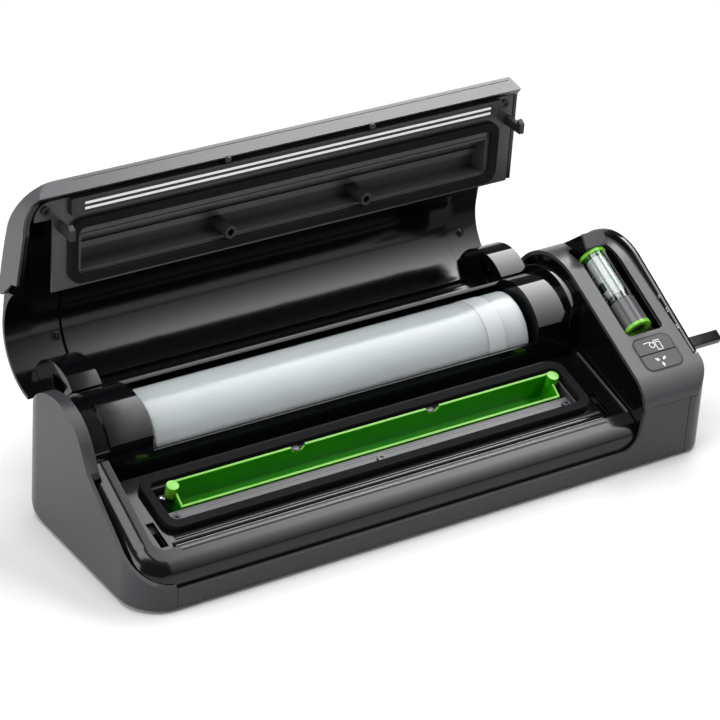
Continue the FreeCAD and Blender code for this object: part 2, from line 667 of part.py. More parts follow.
def make_hinge_ears():
    ears = []
    for side, arm in (("left", "arm_left"), ("right", "arm_right")):
        for place, start in (("inner", f"{arm} - ear_thick - 0.4"), ("outer", f"{arm} + arm_wide + 0.4")):
            ear = body(f"{side}_{place}_ear")
            add_slab(ear, "YZ", start, "ear_thick", rectangle(
                "hinge_y - ear_radius", "ear_foot", "base_depth - wall - 1.3", "hinge_z - 7"))
            add_disc(ear, "YZ", start, "ear_thick", "hinge_y", "hinge_z", "ear_radius")
            cut_disc(ear, "YZ", f"{start} - 1", "ear_thick + 2",
                     "hinge_y", "hinge_z", "pin_radius + pin_fit")
            ears.append(ear)
    set_on_base(group("hinge_ears", ears))


def make_hinge_pins():
    pins = []
    for side, arm in (("left", "arm_left"), ("right", "arm_right")):
        pin = body(f"{side}_pin")
        add_disc(pin, "YZ", f"{arm} - ear_thick - 0.4", "arm_wide + 2*ear_thick + 0.8",
                 "hinge_y", "hinge_z", "pin_radius")
        pins.append(pin)
    set_on_base(group("hinge_pins", pins))


def make_hinge_arm(side, start):
    piece = body(f"{side}_hinge_arm")
    add_disc(piece, "YZ", start, "arm_wide", "hinge_y", "hinge_z", "hub_radius")
    mid_angle = "((arm_from + arm_to)/2)"
    add_slab(piece, "YZ", start, "arm_wide", [
        ("hinge_y", "hinge_z"), (*hinge_polar("arm_radius", "arm_from"), "arm_radius", "left"),
        (*hinge_polar("arm_radius", mid_angle), "arm_radius", "left"),
        hinge_polar("arm_radius", "arm_to")])
    cut_slab(piece, "YZ", f"{start} - 1", "arm_wide + 2", [
        (*hinge_polar("hole_inner", "hole_from"), "hole_inner", "left"),
        hinge_polar("hole_inner", "hole_to"),
        (*hinge_polar("hole_outer", "hole_to"), "hole_outer", "right"),
        hinge_polar("hole_outer", "hole_from")])
    cut_disc(piece, "YZ", f"{start} - 1", "arm_wide + 2", "hinge_y", "hinge_z", "pin_radius + pin_fit")
    reach = "(shell_radius - shell_wall - seam)"
    cut_slab(piece, "YZ", f"{start} - 1", "arm_wide + 2", [
        (*bay_polar(reach, "80"), reach, "right"), bay_polar(reach, "dome_end - 3"),
        bay_polar("shell_radius + 1", "dome_end - 3"), bay_polar("shell_radius + 30", "60"),
        bay_polar("shell_radius + 9", "80")])
    set_on_lid(piece)


def make_bag_roll():
    film = body("bag_roll_film")
    add_disc(film, "YZ", "roll_left", "roll_length", "roll_y", "roll_z", "roll_radius")
    cut_disc(film, "YZ", "roll_left - 1", "roll_length + 2", "roll_y", "roll_z", "core_radius")
    set_on_base(film)
    core = body("bag_roll_core")
    add_disc(core, "YZ", "roll_left", "roll_length", "roll_y", "roll_z", "core_radius - 0.05")
    cut_disc(core, "YZ", "roll_left - 1", "roll_length + 2", "roll_y", "roll_z", "core_radius - core_wall")
    set_on_base(core)
    band = body("bag_roll_band")
    start = "(roll_left + roll_length - band_from_end - band_wide)"
    add_disc(band, "YZ", start, "band_wide", "roll_y", "roll_z", "roll_radius + band_thick")
    cut_disc(band, "YZ", f"{start} - 1", "band_wide + 2", "roll_y", "roll_z", "roll_radius + 0.02")
    set_on_base(band)


def tower_tangent(offset, lift):
    radius = f"(tower_radius - {offset})"
    top = polar("tower_y", f"(tower_z - {lift})", radius, "(90 + tower_slope)")
    rear = polar("tower_y", f"(tower_z - {lift})", radius, "3")
    nose = f"(tower_nose - {offset})"
    drop = "(tower_radius*cos(tower_slope) - (tower_y - tower_radius*sin(tower_slope) - tower_nose"
    drop = f"{drop} + tower_nose*sin(tower_slope))*tan(tower_slope) - tower_nose*cos(tower_slope))"
    center_z = f"(tower_z - {lift} + {drop})"
    tip = polar("tower_nose", center_z, nose, "(90 + tower_slope)")
    front = (f"({offset})", center_z)
    return front, tip, top, rear, nose, radius


def make_tower_wall():
    piece = body("tower_wall")
    inset = "(wall + seam)"
    front, tip, top, rear, nose, radius = tower_tangent(inset, "rim_rise")
    low = "(wall + 2*seam)"
    add_slab(piece, "YZ", "tower_left", "wall", [
        (inset, low), (*front, nose, "right"), tip, (*top, radius, "right"), rear,
        (f"base_depth - {low}", "rear_top - wall"),
        (f"base_depth - {low}", "heel_round", f"heel_round - {low}", "right"),
        ("base_depth - heel_round", low)])
    set_on_base(piece)


def set_in_tower(piece):
    y, z = tower_line("0", "0")
    tilt(piece, "tower_slope")
    bind_base(piece, "0", y, z)


def cut_over(piece, start, length, offset):
    front, tip, top, rear, nose, radius = tower_tangent(offset, "rim_rise")
    cut_slab(piece, "YZ", start, length, [
        ("-9", front[1]), (*front, nose, "right"), tip, (*top, radius, "right"), rear,
        ("base_depth + 19", rear[1]), ("base_depth + 19", "190"), ("-9", "190")])


def make_tower_fascia():
    piece = body("tower_fascia_blank")
    add_slab(piece, "XY", "cheek_top + seam", "120", plan_outline(
        "tower_left", "0", "base_length", "base_depth", touch, touch, "right_corner"))
    cut_over(piece, "tower_left - 9", "tower_wide + 19", "0")
    hollow = body("tower_fascia_hollow")
    add_slab(hollow, "XY", "0", "140", plan_outline(
        "tower_left - 9", "wall", "base_length - wall", "base_depth + 9", touch, touch,
        "(right_corner - wall)"))
    cut_over(hollow, "tower_left - 19", "tower_wide + 39", "wall")
    shell = cut_part("tower_fascia_shell", piece, hollow)
    edge = doc.addObject("Part::Box", "tower_fascia_edge")
    bind(edge, Length="2*rim_strip", Width="base_depth", Height="200")
    bind_base(edge, "base_length - rim_strip", "corner_end", "0")
    roof = cut_part("tower_fascia_roof", shell, edge)
    dock = body("tower_fascia_dock")
    add_slab(dock, "XY", "-dock_deep - 9", "dock_deep + 19", rounded(
        "dock_left", "dock_front", "dock_right", "dock_back", "dock_round"))
    set_in_tower(dock)
    field = body("tower_fascia_field")
    add_slab(field, "XY", "-wall - 3", "wall + 9", rounded(
        "field_left", "field_front", "field_right", "field_back", "key_round"))
    set_in_tower(field)
    docked = cut_part("tower_fascia_docked", roof, dock)
    set_on_base(cut_part("tower_fascia", docked, field))


def make_rim_trim():
    piece = body("rim_trim")
    top, rear, _, radius = tower_tangent("0", "0")[2:]
    low_top, low_rear, _, low_radius = tower_tangent("wall", "rim_rise")[2:]
    add_slab(piece, "YZ", "base_length - rim_strip + seam", "rim_strip - seam", [
        tower_line("rim_front", "0"), (*top, radius, "right"), rear,
        (*low_rear, low_radius, "left"), low_top, tower_line("rim_front", "-wall")])
    set_on_base(piece)


def make_right_side_cover():
    piece = body("right_side_blank")
    start = "(skirt_right + seam)"
    add_slab(piece, "XY", "0", "130", plan_outline(
        start, "0", "base_length", "base_depth", touch, touch, "right_corner"))
    tip, top, rear, _, radius = tower_tangent("(wall + seam)", "rim_rise")[1:]
    cut_slab(piece, "YZ", "skirt_right - 9", "60", [
        tip, (*top, radius, "right"), rear, ("base_depth + 9", rear[1]),
        ("base_depth + 9", "170"), (tip[0], "170")])
    cut_slab(piece, "YZ", "skirt_right - 9", "60", rectangle("-9", "cheek_top", "corner_end + seam", "170"))
    cut_slab(piece, "YZ", "skirt_right - 9", "base_length - rim_strip + seam - skirt_right + 9", rectangle(
        "heel_y", "rear_top", "base_depth + 9", "170"))
    cut_heel(piece, "skirt_right - 9", "60", "0")
    low, high = "(lever_arm - lever_half - lever_slot)", "(lever_arm + lever_half + lever_slot)"
    spare = "(asin((lever_broad/2 + 0.8)/lever_arm)/(1 deg))"
    first, last = f"(lever_angle + {spare})", f"(lever_angle - lever_swing - {spare})"
    cut_slab(piece, "YZ", "base_length - wall - 2", "9", [
        (*lever_polar(low, last), low, "left"), lever_polar(low, first),
        (*lever_polar(high, first), high, "right"), lever_polar(high, last)])
    hollow = body("right_side_hollow")
    add_slab(hollow, "XY", "-1", "140", plan_outline(
        "skirt_right - 9", "wall", "base_length - wall", "base_depth - wall", touch, touch,
        "(right_corner - wall)"))
    cut_heel(hollow, "skirt_right - 19", "70", "wall")
    set_on_base(cut_part("right_side_cover", piece, hollow))


def make_dock_tray():
    piece = body("dock_tray")
    under = "(-wall - seam)"
    sunk = "(tower_radius - wall - seam)"
    ahead = "(dock_back + 1.6 - tower_foot)"
    tail_angle = f"(90 + tower_slope - asin({ahead}/{sunk})/(1 deg))"
    add_slab(piece, "YZ", "dock_left - 2", "dock_right - dock_left + 4", [
        tower_line("dock_front - 2", under), (*tower_line("tower_foot", under), sunk, "right"),
        polar("tower_y", "(tower_z - rim_rise)", sunk, tail_angle),
        tower_line("dock_back + 1.6", "-dock_deep - 2.2"),
        tower_line("dock_front - 2", "-dock_deep - 2.2")])
    cut_slab(piece, "YZ", "dock_left + 0.2", "dock_right - dock_left - 0.4", [
        tower_line("dock_front + 0.2", "-dock_deep"), tower_line("dock_front + 0.2", "9"),
        tower_line("dock_back - 0.2", "9"), tower_line("dock_back - 0.2", "-dock_deep")])
    set_on_base(piece)


def make_keys():
    left, right = "(field_left + key_gap)", "(field_right - key_gap)"
    low, high = "(field_front + key_gap)", "(field_back - key_gap)"
    under = "((field_front + field_back)/2 - key_split/2)"
    over = "((field_front + field_back)/2 + key_split/2)"
    lower = [
        (f"{left} + key_round", low), (f"{right} - key_round", low, "key_round", "left"),
        (right, f"{low} + key_round"), (right, under), (left, under),
        (left, f"{low} + key_round", "key_round", "left")]
    upper = [
        (left, over), (right, over), (right, f"{high} - key_round", "key_round", "left"),
        (f"{right} - key_round", high), (f"{left} + key_round", high, "key_round", "left"),
        (left, f"{high} - key_round")]
    for label, outline in (("mode_key", lower), ("start_key", upper)):
        piece = body(label)
        add_slab(piece, "XY", "-key_deep", "key_deep + key_stand", outline)
        set_on_tower(piece)


def make_control_board():
    piece = body("control_board")
    add_slab(piece, "XY", "-board_drop - board_thick", "board_thick", rectangle(
        "field_left - 6", "field_front + 4", "field_right + 5", "field_back"))
    for x in ("field_left - 3.5", "field_right + 2.5"):
        add_disc(piece, "XY", "-board_drop - 0.2", "board_drop + 0.2 - wall - seam",
                 x, "(field_front + field_back)/2", "2")
    set_on_tower(piece)


def nozzle_disc(piece, back, length, radius):
    add_disc(piece, "XZ", f"-({back})", length, "nozzle_x", "-nozzle_sink", radius)


def nozzle_bore(piece, back, length, radius):
    cut_disc(piece, "XZ", f"-({back})", length, "nozzle_x", "-nozzle_sink", radius)


def make_hand_nozzle():
    joint = "0.1"
    ring_end = "(nozzle_front + ring_long)"
    body_end = f"({ring_end} + body_long)"
    clear_end = f"({body_end} + clear_long)"
    back_end = f"({clear_end} + ring_long)"
    front = body("nozzle_front_ring")
    nozzle_disc(front, ring_end, "ring_long", "nozzle_radius")
    nozzle_bore(front, f"{ring_end} + 1", "ring_long + 2", "nozzle_radius - 3.4")
    set_on_tower(front)
    grip = body("nozzle_body")
    nozzle_disc(grip, body_end, f"body_long - {joint}", "nozzle_radius - 0.4")
    set_on_tower(grip)
    clear = body("nozzle_reservoir")
    nozzle_disc(clear, clear_end, f"clear_long - {joint}", "nozzle_radius - 0.4")
    nozzle_bore(clear, f"{clear_end} + 1", "clear_long + 2", "nozzle_radius - 0.4 - clear_wall")
    set_on_tower(clear)
    straw = body("nozzle_straw")
    nozzle_disc(straw, f"{clear_end} - 0.2", "clear_long - 0.5", "straw_radius")
    nozzle_bore(straw, f"{clear_end} + 1", "clear_long + 2", "straw_radius - 0.8")
    set_on_tower(straw)
    back = body("nozzle_back_ring")
    nozzle_disc(back, back_end, f"ring_long - {joint}", "nozzle_radius")
    set_on_tower(back)
    tail = body("nozzle_tail")
    foot = f"({back_end} + {joint})"
    add_slab(tail, "YZ", "nozzle_x - tail_half", "2*tail_half", [
        (foot, "-nozzle_sink - 7"), ("dock_back - 1", "-nozzle_sink - 7"), ("dock_back - 0.6", "-5"),
        (f"{foot} + tail_long + 2", "-9.4"), (f"{foot} + tail_long*0.58", "tail_high - 2.4"),
        (foot, "tail_high/2")])
    set_on_tower(tail)
    cap = body("nozzle_tail_cap")
    add_slab(cap, "YZ", "nozzle_x - tail_half - 0.6", "2*tail_half + 1.2", [
        (foot, f"tail_high/2 + {joint}"), (f"{foot} + tail_long*0.58", f"tail_high - 2.4 + {joint}"),
        (f"{foot} + tail_long*0.58 - 0.6", "tail_high - 0.4"), (foot, "tail_high/2 + tail_cap")])
    set_on_tower(cap)


def lever_at(radial, sideways):
    y = f"(lever_y + ({radial})*cos(lever_angle) - ({sideways})*sin(lever_angle))"
    z = f"(lever_z + ({radial})*sin(lever_angle) + ({sideways})*cos(lever_angle))"
    return y, z


def make_lever():
    shaft = body("lever_shaft")
    add_disc(shaft, "YZ", "tower_left + wall + seam", "lever_left - tower_left - wall - seam",
             "lever_y", "lever_z", "shaft_radius")
    set_on_base(shaft)
    lever = body("latch_lever")
    add_disc(lever, "YZ", "lever_left", "lever_plate", "lever_y", "lever_z", "boss_radius")
    add_slab(lever, "YZ", "lever_left", "lever_plate", [
        lever_at("0", "-lever_broad/2 - 1"), lever_at("lever_arm + lever_half", "-lever_broad/2"),
        lever_at("lever_arm + lever_half", "lever_broad/2"), lever_at("0", "lever_broad/2 + 1")])
    add_slab(lever, "YZ", "lever_left", "lever_tip - lever_left", [
        lever_at("lever_arm - lever_half", "-lever_broad/2"),
        lever_at("lever_arm + lever_half", "-lever_broad/2"),
        lever_at("lever_arm + lever_half", "lever_broad/2"),
        lever_at("lever_arm - lever_half", "lever_broad/2")])
    round_edges(lever, "lever_round",
                lambda edge: runs_along(edge, "x") and edge.Length > value("lever_grip/2"))
    set_on_base(lever)


def make_latch():
    inner_left, inner_right = "(ring_left + ring_wide - 0.6)", "(ring_right - ring_wide + 0.6)"
    low = "(-plate_drop - plate_thick)"
    bar = body("latch_bar")
    add_slab(bar, "XY", low, "plate_thick", rectangle(
        inner_left, "plate_front", inner_right, "plate_back - plate_travel"))
    set_on_deck(bar)
    for label, slot, left, right in (("left_catch", "slot_left", "plate_left", inner_left),
                                     ("right_catch", "slot_right", inner_right, "plate_right")):
        piece = body(label)
        add_slab(piece, "XY", low, "plate_thick", rectangle(left, "plate_front", right, "plate_wing"))
        cut_slab(piece, "XY", f"{low} - 1", "plate_thick + 2", rectangle(
            f"{slot} - slot_wide/2", "hook_stem - hook_barb - 0.8", f"{slot} + slot_wide/2",
            "hook_stem + hook_wide + 1.2"))
        set_on_deck(piece)


def lid_blank(name):
    piece = body(name)
    add_slab(piece, "XY", "10", "110", plan_outline(
        "lid_left", "lid_front_y", "lid_right", "base_depth + 9", "lid_corner", "0.01", "0.01"))
    crown_y, crown_z = bay_polar("shell_radius", "crown_angle")
    end_y, end_z = bay_polar("shell_radius", "dome_end")
    cut_slab(piece, "YZ", "-9", "base_length", [
        ("-19", "lid_front_z"), ("lid_front_y", "lid_front_z", "lid_crown", "right"),
        (crown_y, crown_z, "shell_radius", "right"), (end_y, end_z), ("base_depth + 19", end_z),
        ("base_depth + 19", "170"), ("-19", "170")])
    inner = "(shell_radius - shell_wall)"
    cut_slab(piece, "YZ", "-9", "base_length", [
        ("-19", "lid_front_z"), ("lid_front_y", "lid_front_z"), ("lid_edge_y", "lid_edge_z"),
        deck_at("0", panel_low), deck_at("panel_back - 1.2", panel_low),
        (*bay_polar(inner, "181"), inner, "right"), bay_polar(inner, "dome_end"),
        bay_polar("shell_radius + 3", "dome_end"),
        ("base_depth + 19", f"{end_z} + 1"), ("base_depth + 19", "-9"), ("-19", "-9")])
    side = "(lid_left + band_wall + seam/2 + shell_wall + 1)"
    back = "(notch_y - lid_gap)"
    cut_slab(piece, "YZ", "-9", f"{side} + 9", [
        ("20", f"{rim_z('20')} + lid_gap"), ("ridge_y - lid_gap", f"{rim_z('ridge_y')} + lid_gap"),
        ("ridge_y - lid_gap", "ridge_z + lid_gap"), (back, f"{dome_z('end_dome', 'notch_y')} + lid_gap"),
        (back, "-9"), ("20", "-9")])
    cut_slab(piece, "YZ", "-9", "dome_left + 9", rectangle(back, "-9", "base_depth + 19", "170"))
    cut_slab(piece, "YZ", "dome_right", "60", rectangle(
        "cheek_front - 3.4", "-9", "base_depth + 19", "170"))
    return piece


def lid_core(name, inset, right, roofed):
    piece = body(name)
    add_slab(piece, "XY", "0", "140", plan_outline(
        f"(lid_left + {inset})", f"(lid_front_y + {inset})", right, "base_depth + 29",
        f"(lid_corner - {inset})", "0.01", "0.01"))
    run_y, run_z = "(lid_edge_y - lid_front_y)", "(lid_front_z - lid_edge_z)"
    span = f"sqrt({run_y}^2 + {run_z}^2)"
    shift_y, shift_z = f"{inset}*{run_z}/{span}", f"{inset}*{run_y}/{span}"
    cut_slab(piece, "YZ", "-9", "base_length", [
        (f"lid_edge_y + {shift_y} + 2*{run_y}", f"lid_edge_z + {shift_z} - 2*{run_z}"),
        (f"lid_edge_y + {shift_y} - 3*{run_y}", f"lid_edge_z + {shift_z} + 3*{run_z}"),
        ("-39", f"lid_edge_z + {shift_z} + 3*{run_z}"), ("-39", f"lid_edge_z + {shift_z} - 2*{run_z}")])
    if roofed:
        inner = "(shell_radius - shell_wall)"
        crown_y, crown_z = bay_polar(inner, "crown_angle")
        end_y, end_z = bay_polar(inner, "dome_end")
        cut_slab(piece, "YZ", "-9", "base_length", [
            ("-19", "lid_front_z - shell_wall"),
            ("lid_front_y", "lid_front_z - shell_wall", "lid_crown", "right"),
            (crown_y, crown_z, inner, "right"), (end_y, end_z), ("base_depth + 39", end_z),
            ("base_depth + 39", "190"), ("-19", "190")])
    return piece


def make_lid_covers():
    band = cut_part("lid_front_band", lid_blank("lid_band_blank"),
                    lid_core("lid_band_core", "band_wall", "lid_right + 9", False))
    set_on_lid(band)
    solid = common_part("lid_shell_solid", lid_blank("lid_shell_blank"),
                        lid_core("lid_shell_core", "(band_wall + seam/2)", "lid_right + 9", False))
    hollow = lid_core("lid_shell_hollow", "(band_wall + seam/2 + shell_wall)", "lid_right - shell_wall", True)
    set_on_lid(cut_part("lid_shell", solid, hollow))


def make_lid_liner():
    piece = body("lid_liner")
    outer = "(liner_radius + liner_thick)"
    left, right = "(arm_left + arm_wide + liner_gap)", "(arm_right - liner_gap)"
    add_slab(piece, "YZ", left, f"{right} - {left}", [
        (*bay_polar("liner_radius", "181"), "liner_radius", "right"), bay_polar("liner_radius", "dome_end"),
        (*bay_polar(outer, "dome_end"), outer, "left"), bay_polar(outer, "181")])
    set_on_lid(piece)


def make_lid_panel():
    piece = body("lid_panel")
    add_slab(piece, "XY", panel_low, "panel_thick", [
        ("gusset_left + gusset_round", "panel_front"), ("panel_right", "panel_front"),
        ("panel_right", "panel_back"), ("panel_left", "panel_back"), ("panel_left", "gusset_back"),
        ("gusset_left", "gusset_back"),
        ("gusset_left", "panel_front + gusset_round", "gusset_round", "left")])
    cut_slab(piece, "XY", f"{panel_low} - 1", "panel_thick + 2", rectangle(
        "ring_left + ring_wide + 1", "trough_front", "ring_right - ring_wide - 1", "trough_back"))
    set_on_lid_deck(piece)


def make_lid_trough():
    piece = body("lid_trough")
    left, right = "(ring_left + ring_wide + 1 + seam)", "(ring_right - ring_wide - 1 - seam)"
    front, back = "(trough_front + seam)", "(trough_back - seam)"
    top = f"({panel_low} + trough_deep)"
    roof = f"({top} - trough_wall)"
    add_slab(piece, "YZ", left, f"{right} - {left}", rectangle(front, panel_low, back, top))
    inner = f"{right} - {left} - 2*trough_wall"
    cut_slab(piece, "YZ", f"{left} + trough_wall", inner, rectangle(
        f"{front} + trough_wall", "-9", f"{back} - trough_wall", roof))
    add_slab(piece, "YZ", f"{left} + trough_wall", inner, [
        ("bar_row - bar_radius", f"{roof} + 0.2"),
        ("bar_row - bar_radius", f"{roof} - 1", "bar_radius", "left"),
        ("bar_row", f"{roof} - 1 - bar_radius", "bar_radius", "left"),
        ("bar_row + bar_radius", f"{roof} - 1"), ("bar_row + bar_radius", f"{roof} + 0.2")])
    add_slab(piece, "YZ", f"{left} + trough_wall", inner, rectangle(
        "ledge_row - 2", f"{roof} - ledge_high", "ledge_row + 2", f"{roof} + 0.2"))
    set_on_lid_deck(piece)


def make_lid_posts():
    posts = []
    roof = f"({panel_low} + trough_deep - trough_wall)"
    for number, x in enumerate(("post_one", "post_two"), start=1):
        post = body(f"lid_post_{number}")
        add_disc(post, "XY", "-post_tip", f"{roof} + post_tip", x, "post_row", "post_radius")
        cut_disc(post, "XY", "-post_tip", "post_radius", x, "post_row", "post_radius/2")
        posts.append(post)
    set_on_lid_deck(group("lid_posts", posts))


def make_heater():
    carrier = body("heat_carrier")
    low = f"({panel_low} - carrier_high)"
    add_slab(carrier, "XY", low, "carrier_high", rounded(
        "(pad_left + 1)", "(pad_row - carrier_wide/2)", "(pad_right - 1)",
        "(pad_row + carrier_wide/2)", "1.5"))
    set_on_lid_deck(carrier)
    strips = []
    for number, row in enumerate(("(pad_row - strip_pitch/2)", "(pad_row + strip_pitch/2)"), start=1):
        strip = body(f"heat_strip_{number}")
        add_slab(strip, "XY", f"{low} - strip_thick", "strip_thick", rectangle(
            "strip_left", f"{row} - strip_wide/2", "strip_right", f"{row} + strip_wide/2"))
        strips.append(strip)
    set_on_lid_deck(group("heat_strips", strips))


def make_hooks():
    for label, slot in (("left_latch_hook", "slot_left"), ("right_latch_hook", "slot_right")):
        piece = body(label)
        add_slab(piece, "YZ", f"{slot} - hook_thick/2", "hook_thick", [
            ("hook_stem", panel_low), ("hook_stem + hook_wide", panel_low),
            ("hook_stem + hook_wide", "-hook_reach"), ("hook_stem - 1", "-hook_reach"),
            ("hook_stem - hook_barb", "-hook_reach + barb_high"), ("hook_stem", "-hook_reach + barb_high")])
        set_on_lid_deck(piece)


def make_lid_screws():
    screws = []
    rows = (("gusset_left + gusset_screw", "panel_front + gusset_round/2"),
            ("panel_right - gusset_screw", "panel_front + gusset_round/2"))
    for number, (x, row) in enumerate(rows, start=1):
        piece = body(f"lid_screw_{number}")
        add_disc(piece, "XY", f"{panel_low} - screw_high", "screw_high", x, row, "screw_head")
        cut_slab(piece, "XY", f"{panel_low} - screw_high - 1", "screw_high*0.6 + 1",
                 hexagon(x, row, "screw_socket"))
        screws.append(piece)
    set_on_lid_deck(group("lid_screws", screws))


def make_works():
    pump = body("vacuum_pump")
    base = "(wall + 2*seam)"
    add_slab(pump, "XY", base, "pump_high", rounded(
        "(pump_x - pump_wide/2)", "pump_y", "(pump_x + pump_wide/2)", "(pump_y + pump_long)", "3"))
    set_on_base(pump)
    motor = body("pump_motor")
    add_disc(motor, "XZ", "-pump_y", "motor_long", "pump_x", "pump_z", "motor_radius")
    set_on_base(motor)
    board = body("power_board")
    add_slab(board, "XY", base, "board_thick", rounded(
        "power_x", "power_y", "(power_x + power_long)", "(power_y + power_wide)", "2"))
    set_on_base(board)
    block = body("transformer")
    add_slab(block, "XY", f"{base} + board_thick", "block_high", rounded(
        "(power_x + 8)", "(power_y + 8)", "(power_x + 8 + block_long)",
        "(power_y + 8 + block_wide)", "1.5"))
    set_on_base(block)


def make_feet():
    feet = []
    back = "(base_depth - heel_round - foot_back)"
    places = (("foot_inset", "foot_inset"), ("base_length - foot_inset", "foot_inset"),
              ("foot_inset", back), ("base_length - foot_inset", back))
    for number, (x, y) in enumerate(places, start=1):
        foot = body(f"foot_{number}")
        add_disc(foot, "XY", "-foot_height", "foot_height + seam", x, y, "foot_radius")
        bevel_edges(foot, "foot_bevel", lambda edge: len(edge.Vertexes) == 1
                    and abs(edge.BoundBox.Center.z + value("foot_height")) < touching)
        feet.append(foot)
    set_on_base(group("rubber_feet", feet))


def make_base_screws():
    screws = []
    back = "(base_depth - heel_round - foot_back)"
    left, right = "foot_inset + screw_in", "base_length - foot_inset - screw_in"
    places = ((left, "foot_inset"), (right, "foot_inset"), (left, back), (right, back))
    for number, (x, y) in enumerate(places, start=1):
        piece = body(f"base_screw_{number}")
        add_disc(piece, "XY", "seam - screw_high", "screw_high", x, y, "screw_head")
        cut_slab(piece, "XY", "seam - screw_high - 1", "screw_high*0.6 + 1", hexagon(x, y, "screw_socket"))
        screws.append(piece)
    set_on_base(group("base_screws", screws))


def make_cord_gland():
    piece = body("cord_gland")
    add_disc(piece, "XZ", "-base_depth - gland_long", "gland_long", "gland_x", "gland_z", "gland_radius")
    cut_disc(piece, "XZ", "-base_depth - gland_long - 1", "gland_long - 1",
             "gland_x", "gland_z", "gland_bore")
    set_on_base(piece)


make_base_plate()
make_left_end_cover()
make_front_skirt()
make_deck_moulding()
make_vacuum_channel()
make_lower_gasket()
make_drip_tray()
make_seal_pad()
make_channel_screws()
make_roll_bay()
make_cheeks()
make_rear_panel()
make_hinge_ears()
make_hinge_pins()
make_bag_roll()
make_tower_wall()
make_tower_fascia()
make_rim_trim()
make_right_side_cover()
make_dock_tray()
make_keys()
make_control_board()
make_hand_nozzle()
make_lever()
make_latch()
make_lid_covers()
make_lid_liner()
make_lid_panel()
make_lid_trough()
make_upper_gasket()
make_lid_posts()
make_heater()
make_hooks()
make_lid_screws()
make_hinge_arm("left", "arm_left")
make_hinge_arm("right", "arm_right")
make_works()
make_feet()
make_base_screws()
make_cord_gland()
doc.recompute()

faults = [item.Label for item in doc.Objects if {"Invalid", "Error"} & set(item.State)]
if faults:
    raise RuntimeError(f"not built: {faults}")
unsound = [piece.Label for piece in nodes if piece.Shape.isNull() or not piece.Shape.isValid()]
if unsound:
    raise RuntimeError(f"not sound: {unsound}")
os.makedirs("parts", exist_ok=True)
for piece in nodes:
    piece.Shape.exportStep(f"parts/{piece.Label}.step")
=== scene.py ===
import bpy
import bmesh
import json
import math
from mathutils import Matrix, Vector


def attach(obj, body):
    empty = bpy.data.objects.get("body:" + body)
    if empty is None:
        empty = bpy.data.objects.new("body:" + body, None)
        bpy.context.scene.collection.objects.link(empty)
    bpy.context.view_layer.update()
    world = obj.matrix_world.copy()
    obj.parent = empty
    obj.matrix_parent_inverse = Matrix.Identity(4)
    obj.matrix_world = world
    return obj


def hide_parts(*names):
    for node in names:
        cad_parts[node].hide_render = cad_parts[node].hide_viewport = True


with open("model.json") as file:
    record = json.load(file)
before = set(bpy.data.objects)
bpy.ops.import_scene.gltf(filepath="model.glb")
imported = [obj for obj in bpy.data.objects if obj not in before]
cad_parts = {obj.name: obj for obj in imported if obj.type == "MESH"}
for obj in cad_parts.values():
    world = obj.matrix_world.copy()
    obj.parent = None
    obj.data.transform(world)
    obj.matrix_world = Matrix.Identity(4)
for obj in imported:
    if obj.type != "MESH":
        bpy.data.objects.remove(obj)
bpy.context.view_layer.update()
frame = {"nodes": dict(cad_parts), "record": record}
mm = 0.001
cadNodes = frame["nodes"]
bodyOf = {node: body for body, nodes in frame["record"]["behaviour"]["bodies"].items() for node in nodes}
print("frame loaded:", len(cadNodes), "nodes")


# camera matched to the photograph: long lens, high on the left front
camera = {
    "lens": 160.0,
    "sensor": 36.0,
    "clip": (0.05, 60.0),
    "place": (-1.0292, -1.43953, 1.0873),
    "right": (0.83505, -0.54659, 0.06047),
    "up": (0.22961, 0.44652, 0.86479),
}


def setCamera(c):
    data = bpy.data.cameras.new("photoCamera")
    data.lens = c["lens"]
    data.sensor_width = c["sensor"]
    data.clip_start, data.clip_end = c["clip"]
    data.dof.use_dof = False
    eye = bpy.data.objects.new("photoCamera", data)
    right = Vector(c["right"]).normalized()
    up = Vector(c["up"])
    up = (up - right * up.dot(right)).normalized()
    back = right.cross(up)
    turn = Matrix((right, up, back)).transposed().to_4x4()
    eye.matrix_world = Matrix.Translation(c["place"]) @ turn
    bpy.context.scene.collection.objects.link(eye)
    bpy.context.scene.camera = eye


setCamera(camera)
bpy.context.scene.view_settings.view_transform = "Standard"
print("camera set")


def hexColour(text):
    parts = [int(text[i:i + 2], 16) / 255 for i in (1, 3, 5)]
    linear = [p / 12.92 if p <= 0.04045 else ((p + 0.055) / 1.055) ** 2.4 for p in parts]
    return (*linear, 1.0)


def addNode(tree, kind, inputs=None, **settings):
    node = tree.nodes.new(kind)
    for name, value in settings.items():
        setattr(node, name, value)
    for name, value in (inputs or {}).items():
        if isinstance(value, bpy.types.NodeSocket):
            tree.links.new(value, node.inputs[name])
        else:
            node.inputs[name].default_value = value
    return node


def startMaterial(name, **sockets):
    material = bpy.data.materials.new(name)
    material.use_nodes = True
    tree = material.node_tree
    shader = tree.nodes["Principled BSDF"]
    for socket, value in sockets.items():
        shader.inputs[socket.replace("_", " ")].default_value = value
    place = addNode(tree, "ShaderNodeTexCoord")
    return material, tree, shader, place.outputs["Object"]


def perMetre(sizeInMm):
    return 1000.0 / sizeInMm


